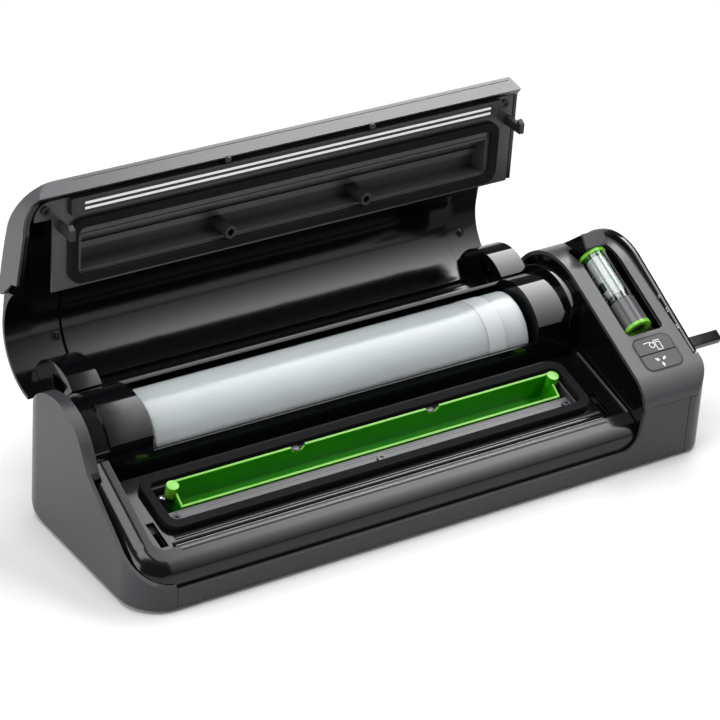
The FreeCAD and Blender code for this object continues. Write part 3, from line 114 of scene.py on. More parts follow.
def wireSurface(tree, shader, s, tone, relief):
    # one pattern drives the colour, another the fine bump and any range of roughness
    colour = addNode(tree, "ShaderNodeMix", {"Factor": tone, "A": hexColour(s["dark"]), "B": hexColour(s["pale"])},
                     data_type="RGBA")
    tree.links.new(colour.outputs["Result"], shader.inputs["Base Color"])
    if isinstance(s["rough"], tuple):
        rough = addNode(tree, "ShaderNodeMapRange", {"Value": relief, "To Min": s["rough"][0],
                                                     "To Max": s["rough"][1]})
        tree.links.new(rough.outputs["Result"], shader.inputs["Roughness"])
    else:
        shader.inputs["Roughness"].default_value = s["rough"]
    bump = addNode(tree, "ShaderNodeBump", {"Height": relief, "Strength": s["bump"], "Distance": s["depthMm"] * mm})
    tree.links.new(bump.outputs["Normal"], shader.inputs["Normal"])


# moulded grains below are drawn coarser than life, so that they show
# spark-textured dark grey ABS: soft sheen, no clear reflections
greyAbs = {"dark": "#333336", "pale": "#39393c", "rough": (0.29, 0.37), "driftMm": 60, "grainMm": 1.0,
           "bump": 0.1, "depthMm": 0.05}
# polished black ABS: deep black, mirror-like with a faint moulding drift
blackAbs = {"dark": "#070709", "pale": "#0c0c0f", "rough": (0.05, 0.09), "driftMm": 35, "grainMm": 6.0,
            "bump": 0.02, "depthMm": 0.03}
# satin black ABS: the same black from a finely stoned mould, so reflections spread into soft bands
satinAbs = {"dark": "#09090b", "pale": "#0e0e11", "rough": (0.13, 0.18), "driftMm": 45, "grainMm": 1.4,
            "bump": 0.04, "depthMm": 0.03}
# plain black ABS inside and below: dull from the mould
dullAbs = {"dark": "#131315", "pale": "#1a1a1c", "rough": (0.42, 0.58), "driftMm": 40, "grainMm": 1.2,
           "bump": 0.15, "depthMm": 0.06}
# satin light grey ABS of the lid's front band: an even, pale sheen; the same finish is laid on thin strips as painted
# highlights, behind the seal pad and round the heating bar
bandAbs = {"dark": "#434346", "pale": "#4a4a4d", "rough": (0.25, 0.33), "driftMm": 70, "grainMm": 1.2,
           "bump": 0.06, "depthMm": 0.04}
# satin grey ABS of the tower top: the covers' plastic, a little smoother, so it picks up the light, and painted paler
# than the covers as painted light on the lit top
fasciaAbsPaintedLight = {"dark": "#3b3b3e", "pale": "#424245", "rough": (0.26, 0.34), "driftMm": 60, "grainMm": 1.0,
             "bump": 0.1, "depthMm": 0.05}
# matt dark ABS of the lid panel: bead-blasted mould, greys towards the light; its grey is painted paler than the
# panel's black, painted light standing in for light the panel gets too little of inside the lid
mattAbsPaintedLight = {"dark": "#3a3a3d", "pale": "#424245", "rough": (0.28, 0.3), "driftMm": 45, "grainMm": 2.0,
           "bump": 0.01, "depthMm": 0.04}
# grey ABS of the vacuum channel: flat grey, with a soft highlight along its ledge
channelAbs = {"dark": "#39393c", "pale": "#404043", "rough": (0.3, 0.4), "driftMm": 30, "grainMm": 1.0,
              "bump": 0.08, "depthMm": 0.04}
# satin grey ABS keys: a shade darker and duller than the tower top
keyAbs = {"dark": "#2e2e31", "pale": "#343437", "rough": (0.34, 0.44), "driftMm": 20, "grainMm": 1.0,
          "bump": 0.08, "depthMm": 0.04}
# satin grey ABS of the nozzle's grip: pale, with a long highlight
gripAbs = {"dark": "#454548", "pale": "#4e4e51", "rough": (0.25, 0.33), "driftMm": 20, "grainMm": 1.0,
           "bump": 0.05, "depthMm": 0.04}
# closed-cell foam gasket: dead matt with open pores; the same dark finish is laid in strips beside the seal pad as
# painted shade
foam = {"dark": "#101012", "pale": "#17171a", "rough": (0.85, 0.98), "driftMm": 2.4, "grainMm": 0.9,
        "bump": 0.6, "depthMm": 0.25}
# silicone sealing strip: dull and dark
silicone = {"dark": "#121214", "pale": "#18181b", "rough": (0.7, 0.82), "driftMm": 15, "grainMm": 1.2,
            "bump": 0.1, "depthMm": 0.05}
# the same silicone painted pale: a painted highlight on the pad's up-facing front ridge and on the bead in front of
# it; the tray's stop caps wear it too
siliconePaleAndHighlight = {"dark": "#66666a", "pale": "#747478", "rough": (0.3, 0.42), "driftMm": 9, "grainMm": 1.0,
                "bump": 0.1, "depthMm": 0.04}
# card tube of the roll: brown, dry and fibrous
cardTube = {"dark": "#a58a63", "pale": "#b79b73", "rough": (0.75, 0.9), "driftMm": 6, "grainMm": 1.0,
            "bump": 0.25, "depthMm": 0.08}
# white polypropylene tape band: smooth and paler than the film under it
whiteTape = {"dark": "#b2b5b7", "pale": "#bbbec0", "rough": (0.25, 0.35), "driftMm": 12, "grainMm": 1.0,
             "bump": 0.04, "depthMm": 0.03}
# printed circuit laminate: green lacquer over a faint weave
laminate = {"dark": "#1c5a36", "pale": "#236b41", "rough": (0.35, 0.5), "driftMm": 5, "grainMm": 0.9,
            "bump": 0.1, "depthMm": 0.05}
# white print ink: flat, clean white
printInk = {"dark": "#e9e9ea", "pale": "#f0f0f1", "rough": (0.45, 0.55), "driftMm": 4, "grainMm": 0.5,
            "bump": 0.05, "depthMm": 0.01}
# frosted polyethylene inside the reservoir: milky white, lets some light through
frosted = {"dark": "#dfe5e6", "pale": "#eef2f3", "rough": (0.35, 0.5), "driftMm": 8, "grainMm": 1.0,
           "bump": 0.05, "depthMm": 0.04}


def speckled(name, s, **sockets):
    # broad colour drift with a fine grain over it
    material, tree, shader, place = startMaterial(name, **sockets)
    broad = addNode(tree, "ShaderNodeTexNoise", {"Vector": place, "Scale": perMetre(s["driftMm"]), "Detail": 3.0})
    fine = addNode(tree, "ShaderNodeTexNoise", {"Vector": place, "Scale": perMetre(s["grainMm"]), "Detail": 2.0})
    wireSurface(tree, shader, s, broad.outputs["Fac"], fine.outputs["Fac"])
    return material


# blackened steel of the screws: dark, with a dry shine
screwSteel = {"dark": "#2c2c2f", "pale": "#3b3b3f", "rough": (0.25, 0.4), "lineMm": 1.0, "stretch": (1, 1, 1),
              "bump": 0.1, "depthMm": 0.02}
# ground steel of the pins: grey, with fine lines along the pin
pinSteel = {"dark": "#9a9b9d", "pale": "#b4b5b7", "rough": (0.2, 0.32), "lineMm": 0.6, "stretch": (0.05, 1, 1),
            "bump": 0.1, "depthMm": 0.02}
# rolled steel ribbon of the heat strips: bright, with streaks along its length
heatSteel = {"dark": "#c9c9cb", "pale": "#e6e6e8", "rough": (0.14, 0.26), "lineMm": 0.8, "stretch": (0.03, 1, 1),
             "bump": 0.1, "depthMm": 0.02}


def makeSteel(name, s):
    material, tree, shader, place = startMaterial(name, Metallic=1.0)
    drawn = addNode(tree, "ShaderNodeMapping", {"Vector": place, "Scale": s["stretch"]})
    streak = addNode(tree, "ShaderNodeTexNoise", {"Vector": drawn.outputs["Vector"], "Scale": perMetre(s["lineMm"]),
                                                  "Detail": 2.0})
    wireSurface(tree, shader, s, streak.outputs["Fac"], streak.outputs["Fac"])
    return material


# translucent green polypropylene: dark and saturated inside the tray; the paler green is the nozzle rings' own
# colour, and is laid on the tray's lugs and, as painted light glowing along thin edges, on the up-facing tops of its
# rims
trayGreen = {"dark": "#208705", "pale": "#2b9a0a", "rough": 0.22, "driftMm": 30, "scatter": 0.25,
             "scatterMm": 2.0, "spread": (0.6, 1.0, 0.2), "bump": 0.04, "depthMm": 0.05}
paleGreenAndRimGlow = {"dark": "#5dac18", "pale": "#77c42b", "rough": 0.25, "driftMm": 18, "scatter": 0.25,
            "scatterMm": 3.0, "spread": (0.6, 1.0, 0.2), "bump": 0.04, "depthMm": 0.05}


def makeGreen(name, s):
    material, tree, shader, place = startMaterial(name, Subsurface_Weight=s["scatter"], Subsurface_Radius=s["spread"],
                                                  Subsurface_Scale=s["scatterMm"] * mm)
    drift = addNode(tree, "ShaderNodeTexNoise", {"Vector": place, "Scale": perMetre(s["driftMm"]), "Detail": 2.0})
    wireSurface(tree, shader, s, drift.outputs["Fac"], drift.outputs["Fac"])
    return material


# clear styrene reservoir: glass-like, with a faint green tint
clearStyrene = {"ior": 1.55, "rough": (0.02, 0.06), "grainMm": 4.0, "tint": "#f2f8f5"}


def makeClear(s):
    material, tree, shader, place = startMaterial("clearStyrene", IOR=s["ior"], Transmission_Weight=1.0,
                                                  Base_Color=hexColour(s["tint"]))
    haze = addNode(tree, "ShaderNodeTexNoise", {"Vector": place, "Scale": perMetre(s["grainMm"]), "Detail": 2.0})
    rough = addNode(tree, "ShaderNodeMapRange", {"Value": haze.outputs["Fac"], "To Min": s["rough"][0],
                                                 "To Max": s["rough"][1]})
    tree.links.new(rough.outputs["Result"], shader.inputs["Roughness"])
    return material


# bag film wound tight: many clear layers read as silver grey, with embossed air channels
film = {"dark": "#a8aeb0", "pale": "#b5bbbd", "rough": (0.25, 0.28), "channelMm": 1.6, "waver": 0.4, "driftMm": 60,
        "coat": 0.2, "coatRough": 0.2, "scatter": 0.8, "scatterMm": 20, "bump": 0.03, "depthMm": 0.03}


def makeFilm(s):
    material, tree, shader, place = startMaterial(
        "bagFilmWound", IOR=1.5, Coat_Weight=s["coat"], Coat_Roughness=s["coatRough"], Subsurface_Weight=s["scatter"],
        Subsurface_Radius=(1.0, 1.0, 1.0), Subsurface_Scale=s["scatterMm"] * mm)
    drift = addNode(tree, "ShaderNodeTexNoise", {"Vector": place, "Scale": perMetre(s["driftMm"]), "Detail": 3.0})
    waveScale = perMetre(s["channelMm"]) * math.tau / 20  # a wave of scale 1 repeats every tau / 20
    channels = addNode(tree, "ShaderNodeTexWave", {"Vector": place, "Scale": waveScale, "Distortion": s["waver"],
                                                   "Detail": 1.0}, bands_direction="X")
    wireSurface(tree, shader, s, drift.outputs["Fac"], channels.outputs["Fac"])
    return material


materials = {
    "greyAbsTextured": speckled("greyAbsTextured", greyAbs, Specular_IOR_Level=0.4),
    "blackAbsPolished": speckled("blackAbsPolished", blackAbs, Specular_IOR_Level=0.4),
    "blackAbsSatin": speckled("blackAbsSatin", satinAbs, Specular_IOR_Level=0.4),
    "blackAbsDull": speckled("blackAbsDull", dullAbs),
    "lightGreyAbsAndHighlight": speckled("lightGreyAbsAndHighlight", bandAbs, Specular_IOR_Level=0.38),
    "keyAbsSatin": speckled("keyAbsSatin", keyAbs),
    "gripAbsSatin": speckled("gripAbsSatin", gripAbs),
    "gasketFoamAndPaintedShade": speckled("gasketFoamAndPaintedShade", foam, Specular_IOR_Level=0.2),
    "siliconeDark": speckled("siliconeDark", silicone, Specular_IOR_Level=0.2),
    "siliconePaleAndHighlight": speckled("siliconePaleAndHighlight", siliconePaleAndHighlight),
    "greyAbsSatinPaintedLight": speckled("greyAbsSatinPaintedLight", fasciaAbsPaintedLight),
    "blackAbsMattPaintedLight": speckled("blackAbsMattPaintedLight", mattAbsPaintedLight),
    "channelAbs": speckled("channelAbs", channelAbs),
    "cardTube": speckled("cardTube", cardTube),
    "whiteTape": speckled("whiteTape", whiteTape),
    "circuitLaminate": speckled("circuitLaminate", laminate),
    "printInk": speckled("printInk", printInk),
    "screwSteelBlack": makeSteel("screwSteelBlack", screwSteel),
    "pinSteel": makeSteel("pinSteel", pinSteel),
    "heatStripSteel": makeSteel("heatStripSteel", heatSteel),
    "greenPolypropylene": makeGreen("greenPolypropylene", trayGreen),
    "greenPolypropylenePaleAndRimGlow": makeGreen("greenPolypropylenePaleAndRimGlow", paleGreenAndRimGlow),
    "clearStyrene": makeClear(clearStyrene),
    "frostedPolyethylene": speckled("frostedPolyethylene", frosted, Transmission_Weight=0.25, Subsurface_Weight=0.2,
                                    Subsurface_Scale=2.0 * mm),
    "bagFilmWound": makeFilm(film),
}
print("materials:", len(materials))


# which finish each node wears, and how far its edges are eased in mm
finishes = {
    "base_plate": ("blackAbsDull", 0.4),
    "left_end_cover": ("greyAbsTextured", 0.5),
    "front_skirt": ("greyAbsTextured", 0.4),
    "deck_moulding": ("blackAbsSatin", 0.5),
    "vacuum_channel": ("channelAbs", 0.3),
    "lower_gasket": ("gasketFoamAndPaintedShade", 0.6),
    "drip_tray": ("greenPolypropylene", 0.4),
    "seal_pad": ("siliconeDark", 0.3),
    "channel_screws": ("channelAbs", 0.0),
    "roll_bay": ("blackAbsPolished", 0.4),
    "left_cheek": ("blackAbsPolished", 0.5),
    "right_cheek": ("blackAbsPolished", 0.5),
    "right_bulkhead": ("blackAbsPolished", 0.4),
    "rear_panel": ("blackAbsSatin", 0.4),
    "hinge_ears": ("blackAbsPolished", 0.3),
    "hinge_pins": ("pinSteel", 0.2),
    "bag_roll_film": ("bagFilmWound", 0.4),
    "bag_roll_core": ("cardTube", 0.3),
    "bag_roll_band": ("whiteTape", 0.0),
    "tower_wall": ("blackAbsPolished", 0.4),
    "tower_fascia": ("greyAbsSatinPaintedLight", 0.5),
    "rim_trim": ("blackAbsPolished", 0.5),
    "right_side_cover": ("greyAbsTextured", 0.5),
    "dock_tray": ("blackAbsPolished", 0.4),
    "mode_key": ("keyAbsSatin", 0.35),
    "start_key": ("keyAbsSatin", 0.35),
    "control_board": ("circuitLaminate", 0.0),
    "nozzle_front_ring": ("greenPolypropylenePaleAndRimGlow", 0.3),
    "nozzle_body": ("gripAbsSatin", 0.3),
    "nozzle_reservoir": ("clearStyrene", 0.0),
    "nozzle_straw": ("frostedPolyethylene", 0.0),
    "nozzle_back_ring": ("greenPolypropylenePaleAndRimGlow", 0.3),
    "nozzle_tail": ("blackAbsPolished", 0.3),
    "nozzle_tail_cap": ("lightGreyAbsAndHighlight", 0.5),
    "lever_shaft": ("pinSteel", 0.2),
    "latch_lever": ("blackAbsPolished", 0.5),
    "latch_bar": ("blackAbsDull", 0.2),
    "left_catch": ("blackAbsDull", 0.2),
    "right_catch": ("blackAbsDull", 0.2),
    "lid_front_band": ("lightGreyAbsAndHighlight", 0.25),
    "lid_shell": ("blackAbsSatin", 0.5),
    "lid_liner": ("blackAbsSatin", 0.4),
    "lid_panel": ("blackAbsMattPaintedLight", 0.4),
    "lid_trough": ("channelAbs", 0.3),
    "upper_gasket": ("gasketFoamAndPaintedShade", 0.6),
    "lid_posts": ("blackAbsDull", 0.4),
    "heat_carrier": ("blackAbsDull", 0.3),
    "heat_strips": ("heatStripSteel", 0.1),
    "left_latch_hook": ("blackAbsDull", 0.3),
    "right_latch_hook": ("blackAbsDull", 0.3),
    "lid_screws": ("screwSteelBlack", 0.0),
    "left_hinge_arm": ("blackAbsPolished", 0.4),
    "right_hinge_arm": ("blackAbsPolished", 0.4),
    "vacuum_pump": ("blackAbsDull", 0.0),
    "pump_motor": ("pinSteel", 0.0),
    "power_board": ("circuitLaminate", 0.0),
    "transformer": ("blackAbsDull", 0.0),
    "rubber_feet": ("gasketFoamAndPaintedShade", 0.0),
    "base_screws": ("screwSteelBlack", 0.0),
    "cord_gland": ("blackAbsDull", 0.3),
}

# the slopes that details are laid out on in mm: the deck, the tower top, the base itself, and the deck as it
# turns with the open lid
slopes = {
    "deck": {"origin": (-0.2275, -0.08173, 0.0332), "tilt": 16},
    "tower": {"origin": (-0.2275, -0.050928, 0.077304), "tilt": 27},
    "base": {"origin": (-0.2275, -0.09573, 0.003), "tilt": 0},
    "hinge": (0, 0.05147, 0.0653),
    "lidOpen": -106,
}


def slopeFrame(s):
    return (Matrix.Translation(s["origin"]) @ Matrix.Rotation(math.radians(s["tilt"]), 4, "X")
            @ Matrix.Scale(mm, 4))


deckFrame = slopeFrame(slopes["deck"])
towerFrame = slopeFrame(slopes["tower"])
baseFrame = slopeFrame(slopes["base"])
hinge = Vector(slopes["hinge"])
lidFrame = (Matrix.Translation(hinge) @ Matrix.Rotation(math.radians(slopes["lidOpen"]), 4, "X")
            @ Matrix.Translation(-hinge) @ deckFrame)

# faces on the deck that wear a second finish: those beyond the two ends of a stretch, such as the tray's lugs and the
# outer screws, and faces that face up within some rows, painted paler as painted light: the tray's rim tops, glowing,
# and the pad's front ridge, a painted highlight
accents = {
    "drip_tray": {"finish": "greenPolypropylenePaleAndRimGlow", "stretch": (55.9, 341.1),
                  "paintedLightTops": {"above": -6.5, "facing": 0.35, "rows": (0, 60)}},
    "seal_pad": {"finish": "siliconePaleAndHighlight", "stretch": (0, 400),
                 "paintedLightTops": {"above": -1.2, "facing": 0.45, "rows": (0, 5.6)}},
    "channel_screws": {"finish": "screwSteelBlack", "stretch": (100, 300), "paintedLightTops": None},
}


def accentFaces(mesh, a):
    toDeck = deckFrame.inverted()
    up = (deckFrame.to_3x3() @ Vector((0, 0, 1))).normalized()
    left, right = a["stretch"]
    paintedLightTops = a["paintedLightTops"]
    for face in mesh.polygons:
        spot = toDeck @ face.center
        chosen = not left < spot.x < right
        # faces that face up get the paler finish: painted light on their tops
        if paintedLightTops and spot.z > paintedLightTops["above"] and face.normal.dot(up) > paintedLightTops["facing"]:
            chosen = chosen or paintedLightTops["rows"][0] < spot.y < paintedLightTops["rows"][1]
        if chosen:
            face.material_index = 1


easing = {"sharpDeg": 28, "smoothDeg": 40, "flatDeg": 0.6, "segments": 2, "detailSegments": 3, "weldMm": 0.001}


def sharpEdges(bm, degrees):
    return [e for e in bm.edges if len(e.link_faces) == 2 and e.calc_face_angle(0.0) > math.radians(degrees)]


def shadeSmooth(bm):
    for face in bm.faces:
        face.smooth = True
    for edge in bm.edges:
        edge.smooth = len(edge.link_faces) == 2 and edge.calc_face_angle(0.0) < math.radians(easing["smoothDeg"])


def easeEdges(mesh, edgeMm):
    bm = bmesh.new()
    bm.from_mesh(mesh)
    bmesh.ops.remove_doubles(bm, verts=bm.verts, dist=easing["weldMm"] * mm)
    bmesh.ops.dissolve_limit(bm, angle_limit=math.radians(easing["flatDeg"]), verts=bm.verts, edges=bm.edges)
    if edgeMm:
        bmesh.ops.bevel(bm, geom=sharpEdges(bm, easing["sharpDeg"]), offset=edgeMm * mm, offset_type="OFFSET",
                        affect="EDGES", segments=easing["segments"], profile=0.5, material=-1, clamp_overlap=True)
    shadeSmooth(bm)
    bm.to_mesh(mesh)
    bm.free()


def dressNode(name, finish, edgeMm):
    mesh = cadNodes[name].data.copy()
    mesh.name = name + "_eased"
    easeEdges(mesh, edgeMm)
    mesh.materials.clear()
    mesh.materials.append(materials[finish])
    if name in accents:
        mesh.materials.append(materials[accents[name]["finish"]])
        accentFaces(mesh, accents[name])
    piece = bpy.data.objects.new(name + "_eased", mesh)
    bpy.context.scene.collection.objects.link(piece)
    weighted = piece.modifiers.new("evenNormals", "WEIGHTED_NORMAL")
    weighted.keep_sharp = True
    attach(piece, bodyOf[name])
    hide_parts(name)


for nodeName, (finishName, edgeSize) in finishes.items():
    dressNode(nodeName, finishName, edgeSize)
print("nodes dressed:", len(finishes))


def addBox(bm, low, high):
    verts = bmesh.ops.create_cube(bm, size=1.0)["verts"]
    bmesh.ops.scale(bm, verts=verts, vec=[b - a for a, b in zip(low, high)])
    bmesh.ops.translate(bm, verts=verts, vec=[(a + b) / 2 for a, b in zip(low, high)])


def addStroke(bm, start, end, wide, low, high):
    # a bar laid flat from one point to another
    run = Vector(end) - Vector(start)
    verts = bmesh.ops.create_cube(bm, size=1.0)["verts"]
    bmesh.ops.scale(bm, verts=verts, vec=(run.length + wide, wide, high - low))
    bmesh.ops.rotate(bm, verts=verts, cent=(0, 0, 0), matrix=Matrix.Rotation(math.atan2(run.y, run.x), 3, "Z"))
    middle = (Vector(start) + Vector(end)) / 2
    bmesh.ops.translate(bm, verts=verts, vec=(middle.x, middle.y, (low + high) / 2))


def addTurned(bm, centre, profile, axis=(0, 0, 1), steps=28):
    # a profile of (radius, height) points turned about an axis through the centre
    before = set(bm.verts)
    rim = [bm.verts.new((radius, 0, height)) for radius, height in profile]
    lines = [bm.edges.new(pair) for pair in zip(rim, rim[1:])]
    if profile[0][0] and profile[-1][0]:
        lines.append(bm.edges.new((rim[-1], rim[0])))
    bmesh.ops.spin(bm, geom=[*rim, *lines], cent=(0, 0, 0), axis=(0, 0, 1), angle=math.tau, steps=steps,
                   use_merge=True)
    bmesh.ops.remove_doubles(bm, verts=[v for v in bm.verts if v not in before], dist=1e-4)
    made = [v for v in bm.verts if v not in before]
    turn = Vector((0, 0, 1)).rotation_difference(Vector(axis)).to_matrix()
    bmesh.ops.rotate(bm, verts=made, cent=(0, 0, 0), matrix=turn)
    bmesh.ops.translate(bm, verts=made, vec=centre)


def hoop(radius, wide, high):
    # profile of a flat ring round a middle radius
    inner, outer = radius - wide / 2, radius + wide / 2
    return [(inner, 0), (outer, 0), (outer, high), (inner, high)]


def finishDetail(name, bm, place, node, finish, edgeMm=0.0):
    bmesh.ops.recalc_face_normals(bm, faces=bm.faces)
    if edgeMm:
        bmesh.ops.bevel(bm, geom=sharpEdges(bm, easing["smoothDeg"]), offset=edgeMm, offset_type="OFFSET",
                        affect="EDGES", segments=easing["detailSegments"], profile=0.5, material=-1,
                        clamp_overlap=True)
    bmesh.ops.transform(bm, matrix=place, verts=bm.verts)
    shadeSmooth(bm)
    mesh = bpy.data.meshes.new(name)
    bm.to_mesh(mesh)
    bm.free()
    mesh.materials.append(materials[finish])
    piece = bpy.data.objects.new(name, mesh)
    bpy.context.scene.collection.objects.link(piece)
    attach(piece, bodyOf[node])


def makeBars(name, bars, place, node, finish, edgeMm=0.0):
    bm = bmesh.new()
    for low, high in bars:
        addBox(bm, low, high)
    finishDetail(name, bm, place, node, finish, edgeMm)


def makeTurned(name, spots, profile, place, node, finish, **turning):
    bm = bmesh.new()
    for spot in spots:
        addTurned(bm, spot, profile, **turning)
    finishDetail(name, bm, place, node, finish)


# flat rounded rings: the black surround of both keys, and the outline of the heating bar on the lid, painted pale as
# a painted highlight along the bar's edge
keySurround = {"x": (384.1, 415.4), "along": (-35.7, -8.6), "corner": 6.5, "cornerSteps": 8, "wide": 1.05,
               "low": -0.1, "high": 0.08}
carrierHighlightRing = {"x": (40.0, 350.0), "along": (0.2, 11.0), "corner": 5.0, "cornerSteps": 8, "wide": 0.45,
                  "low": 1.22, "high": 1.34}


def makeFlatRing(name, s, place, node, finish):
    bm = bmesh.new()
    verts = bmesh.ops.create_grid(bm, x_segments=1, y_segments=1, size=0.5)["verts"]
    bmesh.ops.scale(bm, verts=verts, vec=(s["x"][1] - s["x"][0], s["along"][1] - s["along"][0], 1))
    bmesh.ops.translate(bm, verts=verts, vec=(sum(s["x"]) / 2, sum(s["along"]) / 2, s["low"]))
    bmesh.ops.bevel(bm, geom=verts, offset=s["corner"], offset_type="OFFSET", affect="VERTICES",
                    segments=s["cornerSteps"], profile=0.5, material=-1)
    plate = list(bm.faces)
    bmesh.ops.inset_region(bm, faces=plate, thickness=s["wide"], use_even_offset=True, use_boundary=True)
    bmesh.ops.delete(bm, geom=plate, context="FACES")
    ring = bmesh.ops.extrude_face_region(bm, geom=list(bm.faces))["geom"]
    bmesh.ops.translate(bm, verts=[g for g in ring if isinstance(g, bmesh.types.BMVert)],
                        vec=(0, 0, s["high"] - s["low"]))
    finishDetail(name, bm, place, node, finish)


makeFlatRing("keySurround", keySurround, towerFrame, "tower_fascia", "blackAbsDull")
makeFlatRing("carrierHighlightRing", carrierHighlightRing, lidFrame, "heat_carrier", "lightGreyAbsAndHighlight")

# printed line marks: a hose with its canister on the upper key, three arrows meeting on the lower one
keyMarks = {
    "low": 0.47, "high": 0.54, "wide": 0.5,
    "hose": [((393.2, -13.9), (396.2, -13.6)), ((396.2, -13.6), (398.4, -14.1))],
    "loop": {"centre": (398.6, -16.2), "radius": 1.9},
    "canister": [((401.4, -20.6), (405.2, -20.6)), ((405.2, -20.6), (405.2, -14.6)),
                 ((405.2, -14.6), (401.4, -14.6)), ((401.4, -14.6), (401.4, -20.6)),
                 ((401.0, -13.2), (405.6, -13.2)), ((400.2, -15.2), (401.0, -13.2))],
    "arrows": [((396.55, -27.5), -35), ((401.4, -27.5), 215), ((398.7, -31.2), 90)],
    "head": 1.5, "tail": 1.7, "tailWide": 0.8, "tailHigh": 0.53,
}


def makeKeyMarks(s):
    low, high = s["low"], s["high"]
    bm = bmesh.new()
    for start, end in s["hose"] + s["canister"]:
        addStroke(bm, start, end, s["wide"], low, high)
    addTurned(bm, (*s["loop"]["centre"], low), hoop(s["loop"]["radius"], s["wide"], high - low))
    finishDetail("startKeyMark", bm, towerFrame, "start_key", "printInk")
    bm = bmesh.new()
    for centre, degrees in s["arrows"]:
        turn = math.radians(degrees)
        ahead = Vector((math.cos(turn), math.sin(turn)))
        tip = bmesh.ops.create_cone(bm, cap_ends=True, segments=3, radius1=s["head"], radius2=s["head"],
                                    depth=high - low)["verts"]
        bmesh.ops.rotate(bm, verts=tip, cent=(0, 0, 0), matrix=Matrix.Rotation(turn - math.pi / 2, 3, "Z"))
        bmesh.ops.translate(bm, verts=tip, vec=(*centre, (low + high) / 2))
        addStroke(bm, centre, Vector(centre) - ahead * s["tail"], s["tailWide"], low, s["tailHigh"])
    finishDetail("modeKeyMark", bm, towerFrame, "mode_key", "printInk")


makeKeyMarks(keyMarks)

# small printed signs along the inner face of the rim
rimMarks = {"face": (424.2, 424.4), "ring": {"along": 16.2, "up": 1.4, "radius": 0.95, "wide": 0.4, "steps": 20},
            "bars": [(6.3, 1.25), (4.2, 0.95), (-7.4, 0.75), (-9.2, 0.7)], "bar": (0.6, 0.5)}


def makeRimMarks(s):
    near, far = s["face"]
    ring = s["ring"]
    bm = bmesh.new()
    addTurned(bm, (near, ring["along"], ring["up"]), hoop(ring["radius"], ring["wide"], far - near),
              axis=(1, 0, 0), steps=ring["steps"])
    half, tall = s["bar"]
    for along, up in s["bars"]:
        addBox(bm, (near, along - half, up - tall), (far, along + half, up + tall))
    finishDetail("rimMarks", bm, towerFrame, "rim_trim", "printInk")


makeRimMarks(rimMarks)

# fine grooves along the front ledge of the vacuum channel, each from its left end to its right
ledgeLines = {"rows": [(29.9, 70, 330), (32.0, 49, 341)], "wide": 0.32, "low": -6.1, "high": -5.96}
makeBars("ledgeLines", [((left, row, ledgeLines["low"]), (right, row + ledgeLines["wide"], ledgeLines["high"]))
                        for row, left, right in ledgeLines["rows"]],
         deckFrame, "vacuum_channel", "blackAbsDull")

# screw post in the pocket at the left end of the tray: a tapered boss and a pan head with a socket
pocketScrew = {
    "spot": (48.9, 45.6, 0),
    "boss": [(0, -20.0), (3.0, -20.0), (2.6, -5.7), (2.3, -5.4), (0, -5.4)],
    "head": [(0.5, -5.45), (2.15, -5.45), (2.15, -5.0), (1.6125, -4.55), (0.5, -4.4), (0.5, -5.1)],
}
makeTurned("pocketBosses", [pocketScrew["spot"]], pocketScrew["boss"], deckFrame, "vacuum_channel", "blackAbsDull")
makeTurned("pocketScrews", [pocketScrew["spot"]], pocketScrew["head"], deckFrame, "vacuum_channel", "pinSteel")

# pale stop caps in dark rings behind the two notches of the tray
trayStops = {
    "spots": [(147.8, 52.5, 0), (249.2, 52.5, 0)],
    "cap": [(0, -3.3), (2.5, -3.3), (2.5, -2.9), (2.2, -2.75), (0, -2.75)],
    "ring": [(2.5, -3.3), (3.2, -3.3), (3.2, -2.95), (2.5, -2.95)],
}
makeTurned("trayStopCaps", trayStops["spots"], trayStops["cap"], deckFrame, "vacuum_channel", "siliconePaleAndHighlight")
makeTurned("trayStopRings", trayStops["spots"], trayStops["ring"], deckFrame, "vacuum_channel", "blackAbsDull")

# seal pad surround: a raised bead in front of the pad, painted pale as a painted highlight; dark strips of painted
# shade in the grooves beside it, over the land behind it and along the gasket recess; and a thin pale strip behind, a
# painted highlight on the recess edge
padTrim = {"x": (36.5, 354.5), "low": -0.3, "bead": (0.3, 1.7), "beadHigh": 0.55, "beadRound": 0.5,
           "channels": [(1.9, 3.2), (-0.5, 0.1), (8.0, 8.75), (9.35, 11.0)], "shadeHigh": 0.03,
           "edge": (8.8, 9.3), "edgeHighlightHigh": 0.15}


def padBars(s, rows, high):
    return [((s["x"][0], front, s["low"]), (s["x"][1], back, high)) for front, back in rows]


makeBars("padBeadHighlight", padBars(padTrim, [padTrim["bead"]], padTrim["beadHigh"]), deckFrame, "deck_moulding",
         "siliconePaleAndHighlight", padTrim["beadRound"])
# dark strips: painted shade
makeBars("padPaintedShade", padBars(padTrim, padTrim["channels"], padTrim["shadeHigh"]), deckFrame, "deck_moulding",
         "gasketFoamAndPaintedShade")
# thin pale strip: painted highlight on the recess edge
makeBars("padEdgeHighlight", padBars(padTrim, [padTrim["edge"]], padTrim["edgeHighlightHigh"]), deckFrame, "deck_moulding",
         "lightGreyAbsAndHighlight")

# raised fin along the right edge of the deck
deckFin = {"rear": (371.6, 60.0), "front": (372.6, 3.0), "wide": 1.5, "low": -0.4, "high": 0.9, "round": 0.3}


def makeDeckFin(s):
    bm = bmesh.new()
    addStroke(bm, s["rear"], s["front"], s["wide"], s["low"], s["high"])
    finishDetail("deckFin", bm, deckFrame, "deck_moulding", "lightGreyAbsAndHighlight", s["round"])


makeDeckFin(deckFin)

# seam at the right of the skirt
frontSeam = {"low": (410.55, -0.04, 1.5), "high": (410.95, 0.1, 36.0)}
makeBars("frontSeam", [(frontSeam["low"], frontSeam["high"])], baseFrame, "front_skirt", "blackAbsDull")

